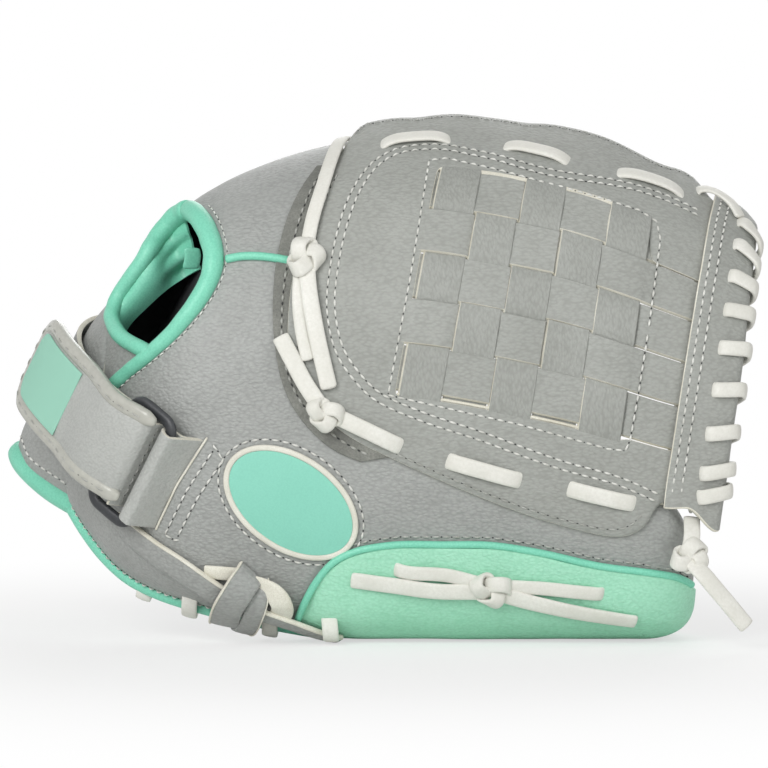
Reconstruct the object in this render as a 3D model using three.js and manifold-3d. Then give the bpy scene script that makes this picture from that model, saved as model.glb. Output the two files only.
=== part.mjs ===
// Softball glove for the left hand, lying on its thumb side with the fingers along +X.
// Millimetres, +Z up, the back of the hand and the web face -Y, the pocket opens to +Y.
import * as THREE from 'three';
import { mergeVertices } from 'three/addons/utils/BufferGeometryUtils.js';
import { TessellateModifier } from 'three/addons/modifiers/TessellateModifier.js';
import Module from 'manifold-3d';

// Clearances and leather thicknesses
const GAP = 0.35;
const LACE_SEAT = 0.5;
const PANEL_SEAT = 0.6;
const SHELL_LEATHER = 2.2;
const PALM_LEATHER = 2.4;
const WEB_LEATHER = 2.0;
const PANEL_LEATHER = 1.5;
const STRIP_LEATHER = 1.5;

// Cross-section of the shell: a C that opens to +Y
const FRONT_RADIUS = 190;
const FRONT_HALF = 65;
const TOP_CORNER_RADIUS = 52;
const TOP_WALL_RADIUS = 150;
const TOP_WALL_LENGTH = 66;
const THUMB_CORNER_RADIUS = 28;
const THUMB_FLAT = 28;
const SIDE_RADIUS = 13;
const SIDE_WALL = 9;

// Height of the glove over the index finger; the heights below are drawn for the pattern's height
const GLOVE_HEIGHT = 197;
const PATTERN_HEIGHT = 197;
const raised = (z) => (z * GLOVE_HEIGHT) / PATTERN_HEIGHT;

// Outline of the shell along X: top and bottom of the back view, and how far the front falls back
const FLOOR_LEVEL = PANEL_SEAT + PANEL_LEATHER;
const TOP_LINE = curveThrough(
  [-140, -128, -116, -103, -88, -73, -50, -16, 20, 60, 100, 130, 140],
  [88, 104, 120, 136, 156, 170, 182, 192, 197, 194, 183, 168, 161].map(raised),
);
const BOTTOM_LINE = curveThrough(
  [-140, -128, -116, -103, -88, -73, -50, -16, 100, 130, 140],
  [70, 58, 41, 27, 19, 14, 8, FLOOR_LEVEL, FLOOR_LEVEL, 9, 14],
);
const HEEL_BEND_START = -62;
const HEEL_BEND_RADIUS = 42;
const TIP_BEND_START = 90;
const TIP_BEND_RADIUS = 130;
const DEPTH_MIN = 0.42;

// Where the hand part ends and the finger and thumb stalls begin
const KNUCKLE_X = -16;
const HEEL_X = -123;
const PALM_HEEL_X = -134;

// Fingers: centre line in the section, width, depth and tips
const FINGER_PITCH = 29.3;
const FINGER_SPACE = 0.7;
const FINGER_WIDTH = FINGER_PITCH - FINGER_SPACE;
const FINGER_DEPTH = 24;
const INDEX_CENTRE = 105.5;
const FINGER_NAMES = ['index', 'middle', 'ring', 'little'];
const FINGER_TIPS = [119, 127, 124, 113];
const FINGER_NOSE = 26;

// Thumb: web-side edge line in the back view, edge rounding and tip
const THUMB_EDGE = curveThrough([-16, -3, 36, 66, 93, 104, 124], [96, 91, 78, 69, 60, 51, 40]);
const THUMB_EDGE_RADIUS = 8;
const THUMB_TIP = 120;
const THUMB_NOSE = 24;
const THUMB_CENTRE = -92;

// Laces
const LACE_WIDTH = 6;
const LACE_THICK = 2;
const KNOT_RADIUS = 7;
const KNOT_FLAT = 0.55;
const KNOT_HALF = KNOT_RADIUS * KNOT_FLAT;

// Wrist opening and trims
const BINDING_RADIUS = 3.2;
const PIPING_RADIUS = 1.7;

// Web weave: corners of the woven window in the back view
const WEAVE_LEFT_TOP = [21, 179];
const WEAVE_RIGHT_TOP = [101, 160];
const WEAVE_RIGHT_BOTTOM = [89, 80];
const WEAVE_LEFT_BOTTOM = [5, 97];
const WEAVE_COUNT = 5;
const STRIP_SHARE = 0.74;
const WEAVE_WAVE = 1.05;
const BAR_TOP = [130, 162];
const BAR_BOTTOM = [114.5, 49];
const BAR_HALF_WIDTH = 9.5;
const BAR_CAVITY = 4.4;
const BAR_LEATHER = 2;
const BAR_WRAPS = 9;

// Wrist strap and ring
const RING_LENGTH = 50;
const RING_WIDTH = 24;
const RING_BAR = 2;
const STRAP_WIDTH = 37;
const STRAP_LEATHER = 2;
const FLAP_THICK = 4;
const FLAP_LENGTH = 66;
const BASE_LENGTH = 108;
const WRIST_RADIUS = 72;
const STRAP_SKEW = -0.1;
const FLAP_WIDTH = 41;
const FLAP_RISE = 3.8;
const FLAP_BINDING = 6.5;
const KEEPER_LENGTH = 24;

const PANEL_EDGE = 13;

// A smooth curve through points, flat where two points are level
function curveThrough(xs, ys) {
  const last = xs.length - 1;
  const slopes = [];
  for (let i = 0; i < last; i++) slopes.push((ys[i + 1] - ys[i]) / (xs[i + 1] - xs[i]));
  const tangents = xs.map((unused, i) => {
    if (i === 0) return slopes[0];
    if (i === last) return slopes[last - 1];
    const a = slopes[i - 1];
    const b = slopes[i];
    return a * b <= 0 ? 0 : (2 * a * b) / (a + b);
  });
  return (x) => {
    if (x <= xs[0]) return ys[0] + tangents[0] * (x - xs[0]);
    if (x >= xs[last]) return ys[last] + tangents[last] * (x - xs[last]);
    let i = 0;
    while (x > xs[i + 1]) i++;
    const h = xs[i + 1] - xs[i];
    const u = (x - xs[i]) / h;
    const v = 1 - u;
    return ys[i] * (1 + 2 * u) * v * v + tangents[i] * h * u * v * v
      + ys[i + 1] * u * u * (3 - 2 * u) - tangents[i + 1] * h * u * u * v;
  };
}

const lerp = THREE.MathUtils.lerp;
const smooth = THREE.MathUtils.smoothstep;

// Half of the section as a chain of arcs, walked by arc length from the middle of the front
function arcChain(arcs) {
  const starts = [];
  let y = 0;
  let z = 0;
  let angle = 0;
  let from = 0;
  for (const [length, radius] of arcs) {
    starts.push({ from, length, radius, y, z, angle });
    const end = walk(starts[starts.length - 1], length);
    y = end.y;
    z = end.z;
    angle = end.angle;
    from += length;
  }
  function walk(arc, d) {
    if (arc.radius === Infinity) {
      return { y: arc.y + Math.sin(arc.angle) * d, z: arc.z + Math.cos(arc.angle) * d, angle: arc.angle };
    }
    const a = arc.angle + d / arc.radius;
    return {
      y: arc.y + arc.radius * (Math.cos(arc.angle) - Math.cos(a)),
      z: arc.z + arc.radius * (Math.sin(a) - Math.sin(arc.angle)),
      angle: a,
    };
  }
  return (d) => {
    let i = starts.length - 1;
    while (i > 0 && d < starts[i].from) i--;
    return walk(starts[i], d - starts[i].from);
  };
}

const FRONT_ANGLE = FRONT_HALF / FRONT_RADIUS;
const TOP_CORNER_LENGTH = TOP_CORNER_RADIUS * (Math.PI / 2 - FRONT_ANGLE);
const THUMB_CORNER_LENGTH = THUMB_CORNER_RADIUS * (Math.PI / 2 - FRONT_ANGLE);
const ROLL_LENGTH = (SIDE_RADIUS * Math.PI) / 2;
const upperArcs = [
  [FRONT_HALF, FRONT_RADIUS],
  [TOP_CORNER_LENGTH, TOP_CORNER_RADIUS],
  [TOP_WALL_LENGTH, TOP_WALL_RADIUS],
];
const lowerArcs = [
  [FRONT_HALF, FRONT_RADIUS],
  [THUMB_CORNER_LENGTH, THUMB_CORNER_RADIUS],
  [THUMB_FLAT, Infinity],
];
const rollArcs = [[ROLL_LENGTH, SIDE_RADIUS], [SIDE_WALL, Infinity]];
const S_TOP = FRONT_HALF + TOP_CORNER_LENGTH;
const S_PINKIE = S_TOP + TOP_WALL_LENGTH;
const S_BOTTOM = -(FRONT_HALF + THUMB_CORNER_LENGTH);
const S_THUMB = S_BOTTOM - THUMB_FLAT;
const ROLL_REACH = ROLL_LENGTH + SIDE_WALL;
const rolled = { up: arcChain([...upperArcs, ...rollArcs]), down: arcChain([...lowerArcs, ...rollArcs]) };
const open = { up: arcChain(upperArcs), down: arcChain(lowerArcs) };
const SECTION_TOP = rolled.up(S_TOP).z;
const SECTION_BOTTOM = -rolled.down(-S_BOTTOM).z;

function frontLine(x) {
  if (x < HEEL_BEND_START) return (x - HEEL_BEND_START) ** 2 / (2 * HEEL_BEND_RADIUS);
  if (x > TIP_BEND_START) return (x - TIP_BEND_START) ** 2 / (2 * TIP_BEND_RADIUS);
  return 0;
}

// Point of the outer skin, its outward normal, and a point lifted off it by t
function skinPoint(x, s, chain = rolled) {
  const at = s >= 0 ? chain.up(s) : chain.down(-s);
  const height = s >= 0 ? at.z : -at.z;
  const scale = (TOP_LINE(x) - BOTTOM_LINE(x)) / (SECTION_TOP - SECTION_BOTTOM);
  const depth = DEPTH_MIN + (1 - DEPTH_MIN) * Math.min(scale, 1);
  const z = BOTTOM_LINE(x) + (height - SECTION_BOTTOM) * scale;
  return new THREE.Vector3(x, frontLine(x) + at.y * depth, z);
}
function skinNormal(x, s, chain = rolled) {
  const e = 0.4;
  const along = skinPoint(x + e, s, chain).sub(skinPoint(x - e, s, chain));
  const round = skinPoint(x, s + e, chain).sub(skinPoint(x, s - e, chain));
  return along.cross(round).normalize();
}
function skin(x, s, t = 0) {
  return skinPoint(x, s).addScaledVector(skinNormal(x, s), t);
}
function openSkin(x, s, t = 0) {
  return skinPoint(x, s, open).addScaledVector(skinNormal(x, s, open), t);
}
// Section length at a height of the back view, given as drawn in the pattern
function sAt(x, height) {
  const z = raised(height);
  let low = S_BOTTOM;
  let high = S_TOP;
  for (let i = 0; i < 40; i++) {
    const middle = (low + high) / 2;
    if (skinPoint(x, middle).z < z) low = middle;
    else high = middle;
  }
  return (low + high) / 2;
}

// Palm: a chord across the back of the section at the heel, a pocket parallel to the skin further on
const PALM_DEPTH = FINGER_DEPTH + 2 * GAP;
const THUMB_PALM_FAR = S_THUMB - SIDE_RADIUS;
const THUMB_PALM_EDGE = curveThrough([-134, -45, 2, 120], [-110, -110, THUMB_PALM_FAR, THUMB_PALM_FAR]);
const THUMB_PALM_DEPTH = curveThrough([-134, -45, 2, 120], [5, 5, PALM_DEPTH, PALM_DEPTH]);
const S_PALM_PINKIE = S_PINKIE + SIDE_RADIUS - 1;
const CROTCH_RISE = 17;
function palmPoint(x, s) {
  const from = THUMB_PALM_EDGE(x);
  const share = (s - from) / (S_PALM_PINKIE - from);
  const thumbEnd = openSkin(x, from, -THUMB_PALM_DEPTH(x));
  const pinkieEnd = openSkin(x, S_PALM_PINKIE, -PALM_DEPTH);
  const chord = thumbEnd.lerp(pinkieEnd, share);
  const rise = CROTCH_RISE * smooth(x, -62, KNUCKLE_X - 4) * smooth(s, 6, 34) * (1 - smooth(s, 56, 86));
  const depth = lerp(THUMB_PALM_DEPTH(x), PALM_DEPTH, smooth(share, 0, 0.3));
  const pocket = openSkin(x, s, rise - depth);
  return chord.lerp(pocket, smooth(x, PALM_HEEL_X, -58));
}
function palm(x, s, t) {
  const e = 0.4;
  const along = palmPoint(x + e, s).sub(palmPoint(x - e, s));
  const round = palmPoint(x, s + e).sub(palmPoint(x, s - e));
  return palmPoint(x, s).addScaledVector(round.cross(along).normalize(), t);
}

// Solids
const wasm = await Module();
wasm.setup();

function clean(geometry) {
  let g = geometry.clone();
  for (const key of Object.keys(g.attributes)) {
    if (key !== 'position') g.deleteAttribute(key);
  }
  g.clearGroups();
  g = mergeVertices(g, 1e-4);
  const kept = [];
  const index = g.index.array;
  for (let i = 0; i < index.length; i += 3) {
    const [a, b, c] = [index[i], index[i + 1], index[i + 2]];
    if (a !== b && b !== c && c !== a) kept.push(a, b, c);
  }
  g.setIndex(kept);
  return g;
}
function solid(geometry) {
  const g = clean(geometry);
  return new wasm.Manifold(new wasm.Mesh({
    numProp: 3,
    vertProperties: new Float32Array(g.attributes.position.array),
    triVerts: new Uint32Array(g.index.array),
  }));
}
function geometryOf(manifold) {
  const mesh = manifold.getMesh();
  const g = new THREE.BufferGeometry();
  g.setAttribute('position', new THREE.BufferAttribute(new Float32Array(mesh.vertProperties), 3));
  g.setIndex(new THREE.BufferAttribute(new Uint32Array(mesh.triVerts), 1));
  return g;
}
// Cut with tools; offcuts that come loose are dropped
function cut(geometry, ...tools) {
  const whole = tools.reduce((body, tool) => body.subtract(solid(tool)), solid(geometry));
  const pieces = whole.decompose().sort((a, b) => b.volume() - a.volume());
  return geometryOf(pieces[0]);
}
function join(...geometries) {
  return geometryOf(geometries.slice(1).reduce((body, g) => body.add(solid(g)), solid(geometries[0])));
}

// Closed double surface from two point functions on the unit square
function shell(columns, rows, outer, inner) {
  const points = [];
  const index = [];
  const wide = columns + 1;
  const layer = wide * (rows + 1);
  for (const surface of [outer, inner]) {
    for (let j = 0; j <= rows; j++) {
      for (let i = 0; i <= columns; i++) points.push(...surface(i / columns, j / rows).toArray());
    }
  }
  const quad = (a, b, c, d) => index.push(a, b, c, a, c, d);
  for (let j = 0; j < rows; j++) {
    for (let i = 0; i < columns; i++) {
      const a = j * wide + i;
      quad(a, a + 1, a + wide + 1, a + wide);
      quad(layer + a, layer + a + wide, layer + a + wide + 1, layer + a + 1);
    }
  }
  for (let i = 0; i < columns; i++) {
    const top = rows * wide + i;
    quad(i, layer + i, layer + i + 1, i + 1);
    quad(top, top + 1, layer + top + 1, layer + top);
  }
  for (let j = 0; j < rows; j++) {
    const left = j * wide;
    const right = left + columns;
    quad(left, left + wide, layer + left + wide, layer + left);
    quad(right, layer + right, layer + right + wide, right + wide);
  }
  const g = new THREE.BufferGeometry();
  g.setAttribute('position', new THREE.Float32BufferAttribute(points, 3));
  g.setIndex(index);
  return clean(g);
}
// Flat pattern in (x, s) bent onto a surface between two lifts
function bent(shape, tIn, tOut, edge = PANEL_EDGE, map = skin) {
  let g = new THREE.ExtrudeGeometry(shape, { depth: 1, bevelEnabled: false, curveSegments: 6 });
  g.deleteAttribute('normal');
  g.deleteAttribute('uv');
  g = new TessellateModifier(edge, 14).modify(g);
  const position = g.attributes.position;
  for (let i = 0; i < position.count; i++) {
    const w = position.getZ(i);
    const p = map(position.getX(i), position.getY(i), lerp(tIn, tOut, w));
    position.setXYZ(i, p.x, p.y, p.z);
  }
  return clean(g);
}
function outline(points) {
  return new THREE.Shape(points.map(([x, s]) => new THREE.Vector2(x, s)));
}
function smoothOutline(points, steps, closed = true) {
  const flat = points.map(([x, s]) => new THREE.Vector3(x, s, 0));
  const curve = new THREE.CatmullRomCurve3(flat, closed, 'centripetal');
  const sampled = curve.getPoints(steps);
  if (closed) sampled.pop();
  return sampled.map((p) => [p.x, p.y]);
}
// Sweep of a flat section along stations with their own across and up directions
function sweep(stations, section) {
  const count = section.length;
  const points = [];
  const index = [];
  for (const { p, across, up } of stations) {
    for (const [a, b] of section) {
      points.push(...p.clone().addScaledVector(across, a).addScaledVector(up, b).toArray());
    }
  }
  for (let i = 0; i + 1 < stations.length; i++) {
    for (let j = 0; j < count; j++) {
      const a = i * count + j;
      const b = i * count + ((j + 1) % count);
      index.push(a, b, b + count, a, b + count, a + count);
    }
  }
  const faces = THREE.ShapeUtils.triangulateShape(section.map(([a, b]) => new THREE.Vector2(a, b)), []);
  const end = (stations.length - 1) * count;
  for (const [a, b, c] of faces) {
    index.push(a, c, b);
    index.push(end + a, end + b, end + c);
  }
  const g = new THREE.BufferGeometry();
  g.setAttribute('position', new THREE.Float32BufferAttribute(points, 3));
  g.setIndex(index);
  return clean(g);
}
function laceSection(width, thick) {
  const w = width / 2;
  const h = thick / 2;
  return [[-w, -h], [w, -h], [w, h], [-w, h]];
}
// Stations of a ribbon: path points, and the direction that its flat face looks at each of them
function ribbonStations(path, faces) {
  return path.map((p, i) => {
    const before = path[Math.max(i - 1, 0)];
    const after = path[Math.min(i + 1, path.length - 1)];
    const tangent = after.clone().sub(before).normalize();
    const across = faces[i].clone().cross(tangent).normalize();
    return { p, across, up: tangent.clone().cross(across).normalize() };
  });
}
// Ribbon on the skin through pattern points (x, s, t); it may dive through the leather
function skinRibbon(points, steps, width = LACE_WIDTH, thick = LACE_THICK, map = skin) {
  const curve = new THREE.CatmullRomCurve3(points.map((p) => new THREE.Vector3(...p)), false, 'centripetal');
  return patternRibbon(curve.getPoints(steps), width, thick, map);
}
function patternRibbon(flat, width, thick, map = skin) {
  const path = flat.map((p) => map(p.x, p.y, p.z));
  const stations = path.map((p, i) => {
    const from = flat[Math.max(i - 2, 0)];
    const to = flat[Math.min(i + 2, flat.length - 1)];
    const heading = map(to.x, to.y, 0).sub(map(from.x, from.y, 0)).normalize();
    const normal = map(flat[i].x, flat[i].y, 1).sub(map(flat[i].x, flat[i].y, 0));
    const across = normal.cross(heading).normalize();
    const tangent = path[Math.min(i + 1, path.length - 1)].clone().sub(path[Math.max(i - 1, 0)]).normalize();
    return { p, across, up: tangent.cross(across).normalize() };
  });
  return sweep(stations, laceSection(width, thick));
}
function tube(points, radius, steps, closed = false, sides = 8) {
  const path = new THREE.CatmullRomCurve3(points, closed, 'centripetal');
  const ring = new THREE.Shape();
  for (let i = 0; i < sides; i++) {
    const a = (2 * Math.PI * i) / sides;
    if (i === 0) ring.moveTo(radius, 0);
    else ring.lineTo(radius * Math.cos(a), radius * Math.sin(a));
  }
  return new THREE.ExtrudeGeometry(ring, { steps, bevelEnabled: false, extrudePath: path });
}
// Knot: a flattened ball that the strands run into
function knot(at, long, up) {
  const g = new THREE.SphereGeometry(1, 8, 5);
  const side = up.clone().cross(long).normalize();
  const basis = new THREE.Matrix4().makeBasis(long.clone().normalize(), side, up);
  g.scale(KNOT_RADIUS, KNOT_RADIUS * 0.8, KNOT_HALF);
  g.applyMatrix4(basis);
  g.translate(at.x, at.y, at.z);
  return g;
}
// Knot lying on the skin, its underside at a lift
function skinKnot([x, s], lift, long) {
  return knot(skin(x, s, lift + KNOT_HALF), new THREE.Vector3(...long), skinNormal(x, s));
}

const glove = new THREE.Group();
glove.name = 'softball_glove';
function add(name, geometry, color, roughness = 0.7) {
  const mesh = new THREE.Mesh(geometry, new THREE.MeshStandardMaterial({ color, roughness, metalness: 0 }));
  mesh.name = name;
  glove.add(mesh);
  return geometry;
}
const GREY = 0xa7acae;
const WEB_GREY = 0x9c9e9a;
const MINT = 0x7ccfb3;
const PALE_MINT = 0x9bdab9;
const LACE = 0xe6e6dd;
const BLACK = 0x222325;

const OVERLAY_IN = GAP;
const OVERLAY_OUT = GAP + WEB_LEATHER;
const PANEL_OUT = PANEL_SEAT + PANEL_LEATHER;
const ON_WEB = OVERLAY_OUT + LACE_SEAT + LACE_THICK / 2;
const ON_PANEL = PANEL_OUT + LACE_SEAT + LACE_THICK / 2;
const ON_SKIN = LACE_SEAT + LACE_THICK / 2;
const UNDER_SKIN = -(SHELL_LEATHER + LACE_SEAT + LACE_THICK / 2);
const front = (x, z, t = 0) => [x, sAt(x, z), t];

// Running lace through holes: over each stitch, under the leather between stitches
function runningLace(stitches, over, under, extra = 0) {
  const points = [];
  stitches.forEach(([from, to], i) => {
    const start = new THREE.Vector2(...from);
    const end = new THREE.Vector2(...to);
    const step = end.clone().sub(start).setLength(3);
    const at = (p, k, t) => points.push([p.x + step.x * k, p.y + step.y * k, t]);
    if (i === 0) at(start, -3, under);
    at(start, -1, under);
    at(start, 1, over);
    at(end, -1, over);
    at(end, 1, under);
    if (i === stitches.length - 1) at(end, 3, under);
  });
  return skinRibbon(points, stitches.length * 9, LACE_WIDTH + 2 * extra, LACE_THICK + 2 * extra);
}

// Wrist opening: closed loop on the skin with a rolled binding
const OPENING = smoothOutline([
  [-73, 112], [-66.4, sAt(-66.4, 157)], [-62, sAt(-62, 145)], [-64, sAt(-64, 134)], [-71, sAt(-71, 124)],
  [-83, sAt(-83, 114)], [-95, sAt(-95, 106)], [-102, sAt(-102, 111)], [-104, sAt(-104, 120)],
  [-100, 112], [-92, 124], [-82, 126],
], 40);
const openingCurve = OPENING.map(([x, s]) => skin(x, s, -0.5));
const binding = tube(openingCurve, BINDING_RADIUS, 28, true);
const openingTool = bent(outline(OPENING), -9, 9, 12);
const bindingTool = tube(openingCurve, BINDING_RADIUS + GAP, 28, true);

// Seam between the two hand backs; beyond the opening it is the slit under the strap
const SEAM = curveThrough([-126, -97, -62, KNUCKLE_X], [12, 36, sAt(-62, 144), sAt(KNUCKLE_X, 142)]);
const SEAM_HALF = PIPING_RADIUS + 2 * GAP;

// Lace routes that punch holes
const upperStitches = [
  [[-1, 104.5], [24, 105]],
  [[45, 104], [69, 103.5]],
  [[87, 103.5], [108, 103.5]],
];
const lowerStitches = [
  [[-19, 88.5], [6, 77]],
  [[25, 71], [51, 63.5]],
  [[69, 59.5], [93, 54]],
].map((pair) => pair.map(([x, z]) => front(x, z).slice(0, 2)));
const upperLace = runningLace(upperStitches, ON_WEB, UNDER_SKIN);
const upperTool = runningLace(upperStitches, ON_WEB, UNDER_SKIN, GAP);
const lowerLace = runningLace(lowerStitches, ON_WEB, UNDER_SKIN);
const lowerTool = runningLace(lowerStitches, ON_WEB, UNDER_SKIN, GAP);

const crotchKnot = front(-29, 145);
const crotchRoute = [
  [-14.5, sAt(-14.5, 170), UNDER_SKIN], [-19, sAt(-19, 165), UNDER_SKIN], [-21.5, sAt(-21.5, 160), ON_WEB],
  [...crotchKnot.slice(0, 2), ON_WEB],
];
const crotchTool = skinRibbon(crotchRoute, 12, LACE_WIDTH + 2 * GAP, LACE_THICK + 2 * GAP);

// Ring frame on the hand back: L along the ring, M along the strap, K away from the glove
const RING_AT = [-91.5, 70.5];
const RING_LIFT = 6;
const ringS = sAt(...RING_AT);
const ringK = skinNormal(RING_AT[0], ringS);
const ringL = new THREE.Vector3(0.66, 0, 0.85);
ringL.addScaledVector(ringK, -ringK.dot(ringL)).normalize();
const ringM = ringK.clone().cross(ringL).normalize();
const ringCentre = skin(RING_AT[0], ringS, RING_LIFT);
const BAR_OFFSET = RING_WIDTH / 2 - RING_BAR;
function ringPoint(l, m, k) {
  return ringCentre.clone().addScaledVector(ringL, l).addScaledVector(ringM, m).addScaledVector(ringK, k);
}
const foldIn = RING_BAR + 2 * GAP;
const foldOut = foldIn + STRAP_LEATHER;
// Strap round the wrist, as a band bent about an axis along the ring
function band(a, q, k) {
  const turn = a / WRIST_RADIUS;
  const r = WRIST_RADIUS + k;
  return ringPoint(STRAP_SKEW * a - q, BAR_OFFSET + r * Math.sin(turn), r * Math.cos(turn) - WRIST_RADIUS);
}
function bandShape(from, to, half, corner) {
  const shape = new THREE.Shape();
  shape.moveTo(from, -half);
  shape.lineTo(to - corner, -half);
  shape.absarc(to - corner, -half + corner, corner, -Math.PI / 2, 0, false);
  shape.absarc(to - corner, half - corner, corner, 0, Math.PI / 2, false);
  shape.lineTo(from, half);
  return shape;
}
const strapTool = bent(bandShape(-4, 140, 60, 1), -foldOut - GAP, 40, 24, band);

// Hand back, finger side, trimmed where the strap passes over it
const handBack = shell(9, 13,
  (u, v) => {
    const x = lerp(HEEL_X, KNUCKLE_X - GAP, u);
    return skin(x, lerp(SEAM(x) + SEAM_HALF, S_PINKIE + ROLL_REACH, v), 0);
  },
  (u, v) => {
    const x = lerp(HEEL_X, KNUCKLE_X - GAP, u);
    return skin(x, lerp(SEAM(x) + SEAM_HALF, S_PINKIE + ROLL_REACH, v), -SHELL_LEATHER);
  });
add('hand_back_finger_side', cut(handBack, openingTool, bindingTool, crotchTool, strapTool), GREY);

// Hand back, thumb side, down to the heel edge
const BACK_EDGE = curveThrough([-134, -45, KNUCKLE_X], [-103, -103, -108]);
const thumbSideBack = shell(9, 10,
  (u, v) => {
    const x = lerp(HEEL_X, KNUCKLE_X - GAP, u);
    return skin(x, lerp(BACK_EDGE(x), SEAM(x) - SEAM_HALF, v), 0);
  },
  (u, v) => {
    const x = lerp(HEEL_X, KNUCKLE_X - GAP, u);
    return skin(x, lerp(BACK_EDGE(x), SEAM(x) - SEAM_HALF, v), -SHELL_LEATHER);
  });
add('wrist_binding', clean(binding), MINT, 0.5);
const seamPath = [-57, -52, -46, -40].map((x) => skin(x, SEAM(x), 0.2));
add('back_seam_piping', clean(tube(seamPath, PIPING_RADIUS, 6)), MINT, 0.5);
const heelPath = [-121, -112, -100, -86, -70, -50, -32, KNUCKLE_X - 3]
  .map((x) => skin(x, BACK_EDGE(x) - PIPING_RADIUS - 4 * GAP, -0.6));
add('heel_piping', clean(tube(heelPath, PIPING_RADIUS, 15)), MINT, 0.5);

// Thumb stall: from the web-side edge over the back and round the outer side, closed at the tip
function noseShare(x, tip, nose) {
  const d = (x - (tip - nose)) / nose;
  return d <= 0 ? 1 : Math.sqrt(Math.max(0, 1 - d * d));
}
const THUMB_FAR = S_THUMB - ROLL_REACH;
const EDGE_WALL = 0.1;
const EDGE_ROUND = 0.25;
function thumbSection(x, v, inset) {
  const edge = sAt(x, THUMB_EDGE(x)) - inset;
  const r = THUMB_EDGE_RADIUS - inset;
  if (v < EDGE_WALL) return [edge, lerp(-FINGER_DEPTH, -THUMB_EDGE_RADIUS, v / EDGE_WALL)];
  if (v < EDGE_ROUND) {
    const a = ((v - EDGE_WALL) / (EDGE_ROUND - EDGE_WALL)) * (Math.PI / 2);
    return [edge - r * (1 - Math.cos(a)), -THUMB_EDGE_RADIUS + r * Math.sin(a)];
  }
  return [lerp(edge - r, THUMB_FAR, (v - EDGE_ROUND) / (1 - EDGE_ROUND)), -inset];
}
const thumbX = (u, inset) => lerp(KNUCKLE_X + GAP, THUMB_TIP - inset, Math.sin((u * Math.PI) / 2));
function thumbPoint(u, v, inset) {
  const x = thumbX(u, inset);
  const [s, t] = thumbSection(x, v, inset);
  const share = noseShare(x, THUMB_TIP - inset, THUMB_NOSE);
  return skin(x, lerp(THUMB_CENTRE, s, share), lerp(-FINGER_DEPTH * 0.7, t, share));
}

// Mint panel over the outer side of the thumb, on the same lines as the stall
const THUMB_PANEL_TOP = curveThrough([-15, -8, 6, 40, 81, 120], [31, 34.5, 38, 38, 30.5, 26]);
const PANEL_FAR = 0.86;
function panelTop(u) {
  const x = thumbX(u, 0);
  const start = sAt(x, THUMB_EDGE(x)) - THUMB_EDGE_RADIUS;
  const share = (start - sAt(x, THUMB_PANEL_TOP(x))) / (start - THUMB_FAR);
  return EDGE_ROUND + (1 - EDGE_ROUND) * share;
}
const STALL_COLUMNS = 10;
const PANEL_COLUMNS = 8;
const PANEL_END = PANEL_COLUMNS / STALL_COLUMNS;
const thumbStall = shell(STALL_COLUMNS, 17,
  (u, v) => thumbPoint(u, 1 - v, 0),
  (u, v) => thumbPoint(u, 1 - v, SHELL_LEATHER));
const panelLift = (u) => PANEL_SEAT + 1.2 * smooth(thumbX(u * PANEL_END, 0), 97, 108);
const panelAt = (u, v, thick) => {
  const end = u * PANEL_END;
  return thumbPoint(end, lerp(PANEL_FAR, panelTop(end), v), -panelLift(u) - thick);
};
const thumbPanel = shell(PANEL_COLUMNS, 10,
  (u, v) => panelAt(u, v, PANEL_LEATHER),
  (u, v) => panelAt(u, v, 0));
const PIPING_LIFT = PIPING_RADIUS + GAP;
const panelEdge = [0.03, 0.1, 0.2, 0.32, 0.45, 0.6, 0.72]
  .map((u) => thumbPoint(u, panelTop(u) - 0.022, -PIPING_LIFT - 0.2));

// Knotted lace on the thumb panel: one long stitch, two tails and a knot
const thumbStitch = [[front(3, 31), front(82, 21)].map((p) => p.slice(0, 2))];
const thumbKnotAt = front(40.5, 24);
const thumbTail = ON_PANEL + LACE_THICK * 0.7;
const thumbLaceTool = runningLace(thumbStitch, ON_PANEL, UNDER_SKIN, GAP);
const thumbTailStart = [...thumbKnotAt.slice(0, 2), thumbTail];
const thumbLace = join(
  runningLace(thumbStitch, ON_PANEL, UNDER_SKIN),
  skinRibbon([front(-10, 25, ON_PANEL), front(10, 24.5, thumbTail), thumbTailStart], 8),
  skinRibbon([thumbTailStart, front(70, 18, thumbTail), front(93, 13, ON_PANEL)], 8),
  skinKnot(thumbKnotAt, PANEL_OUT + GAP, [1, 0, 0]),
);
add('thumb_stall', cut(thumbStall, lowerTool, thumbLaceTool), GREY);
add('thumb_panel', cut(thumbPanel, thumbLaceTool), PALE_MINT);
add('thumb_panel_piping', clean(tube(panelEdge, PIPING_RADIUS, 13)), MINT, 0.5);
add('thumb_lace', thumbLace, LACE);

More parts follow.
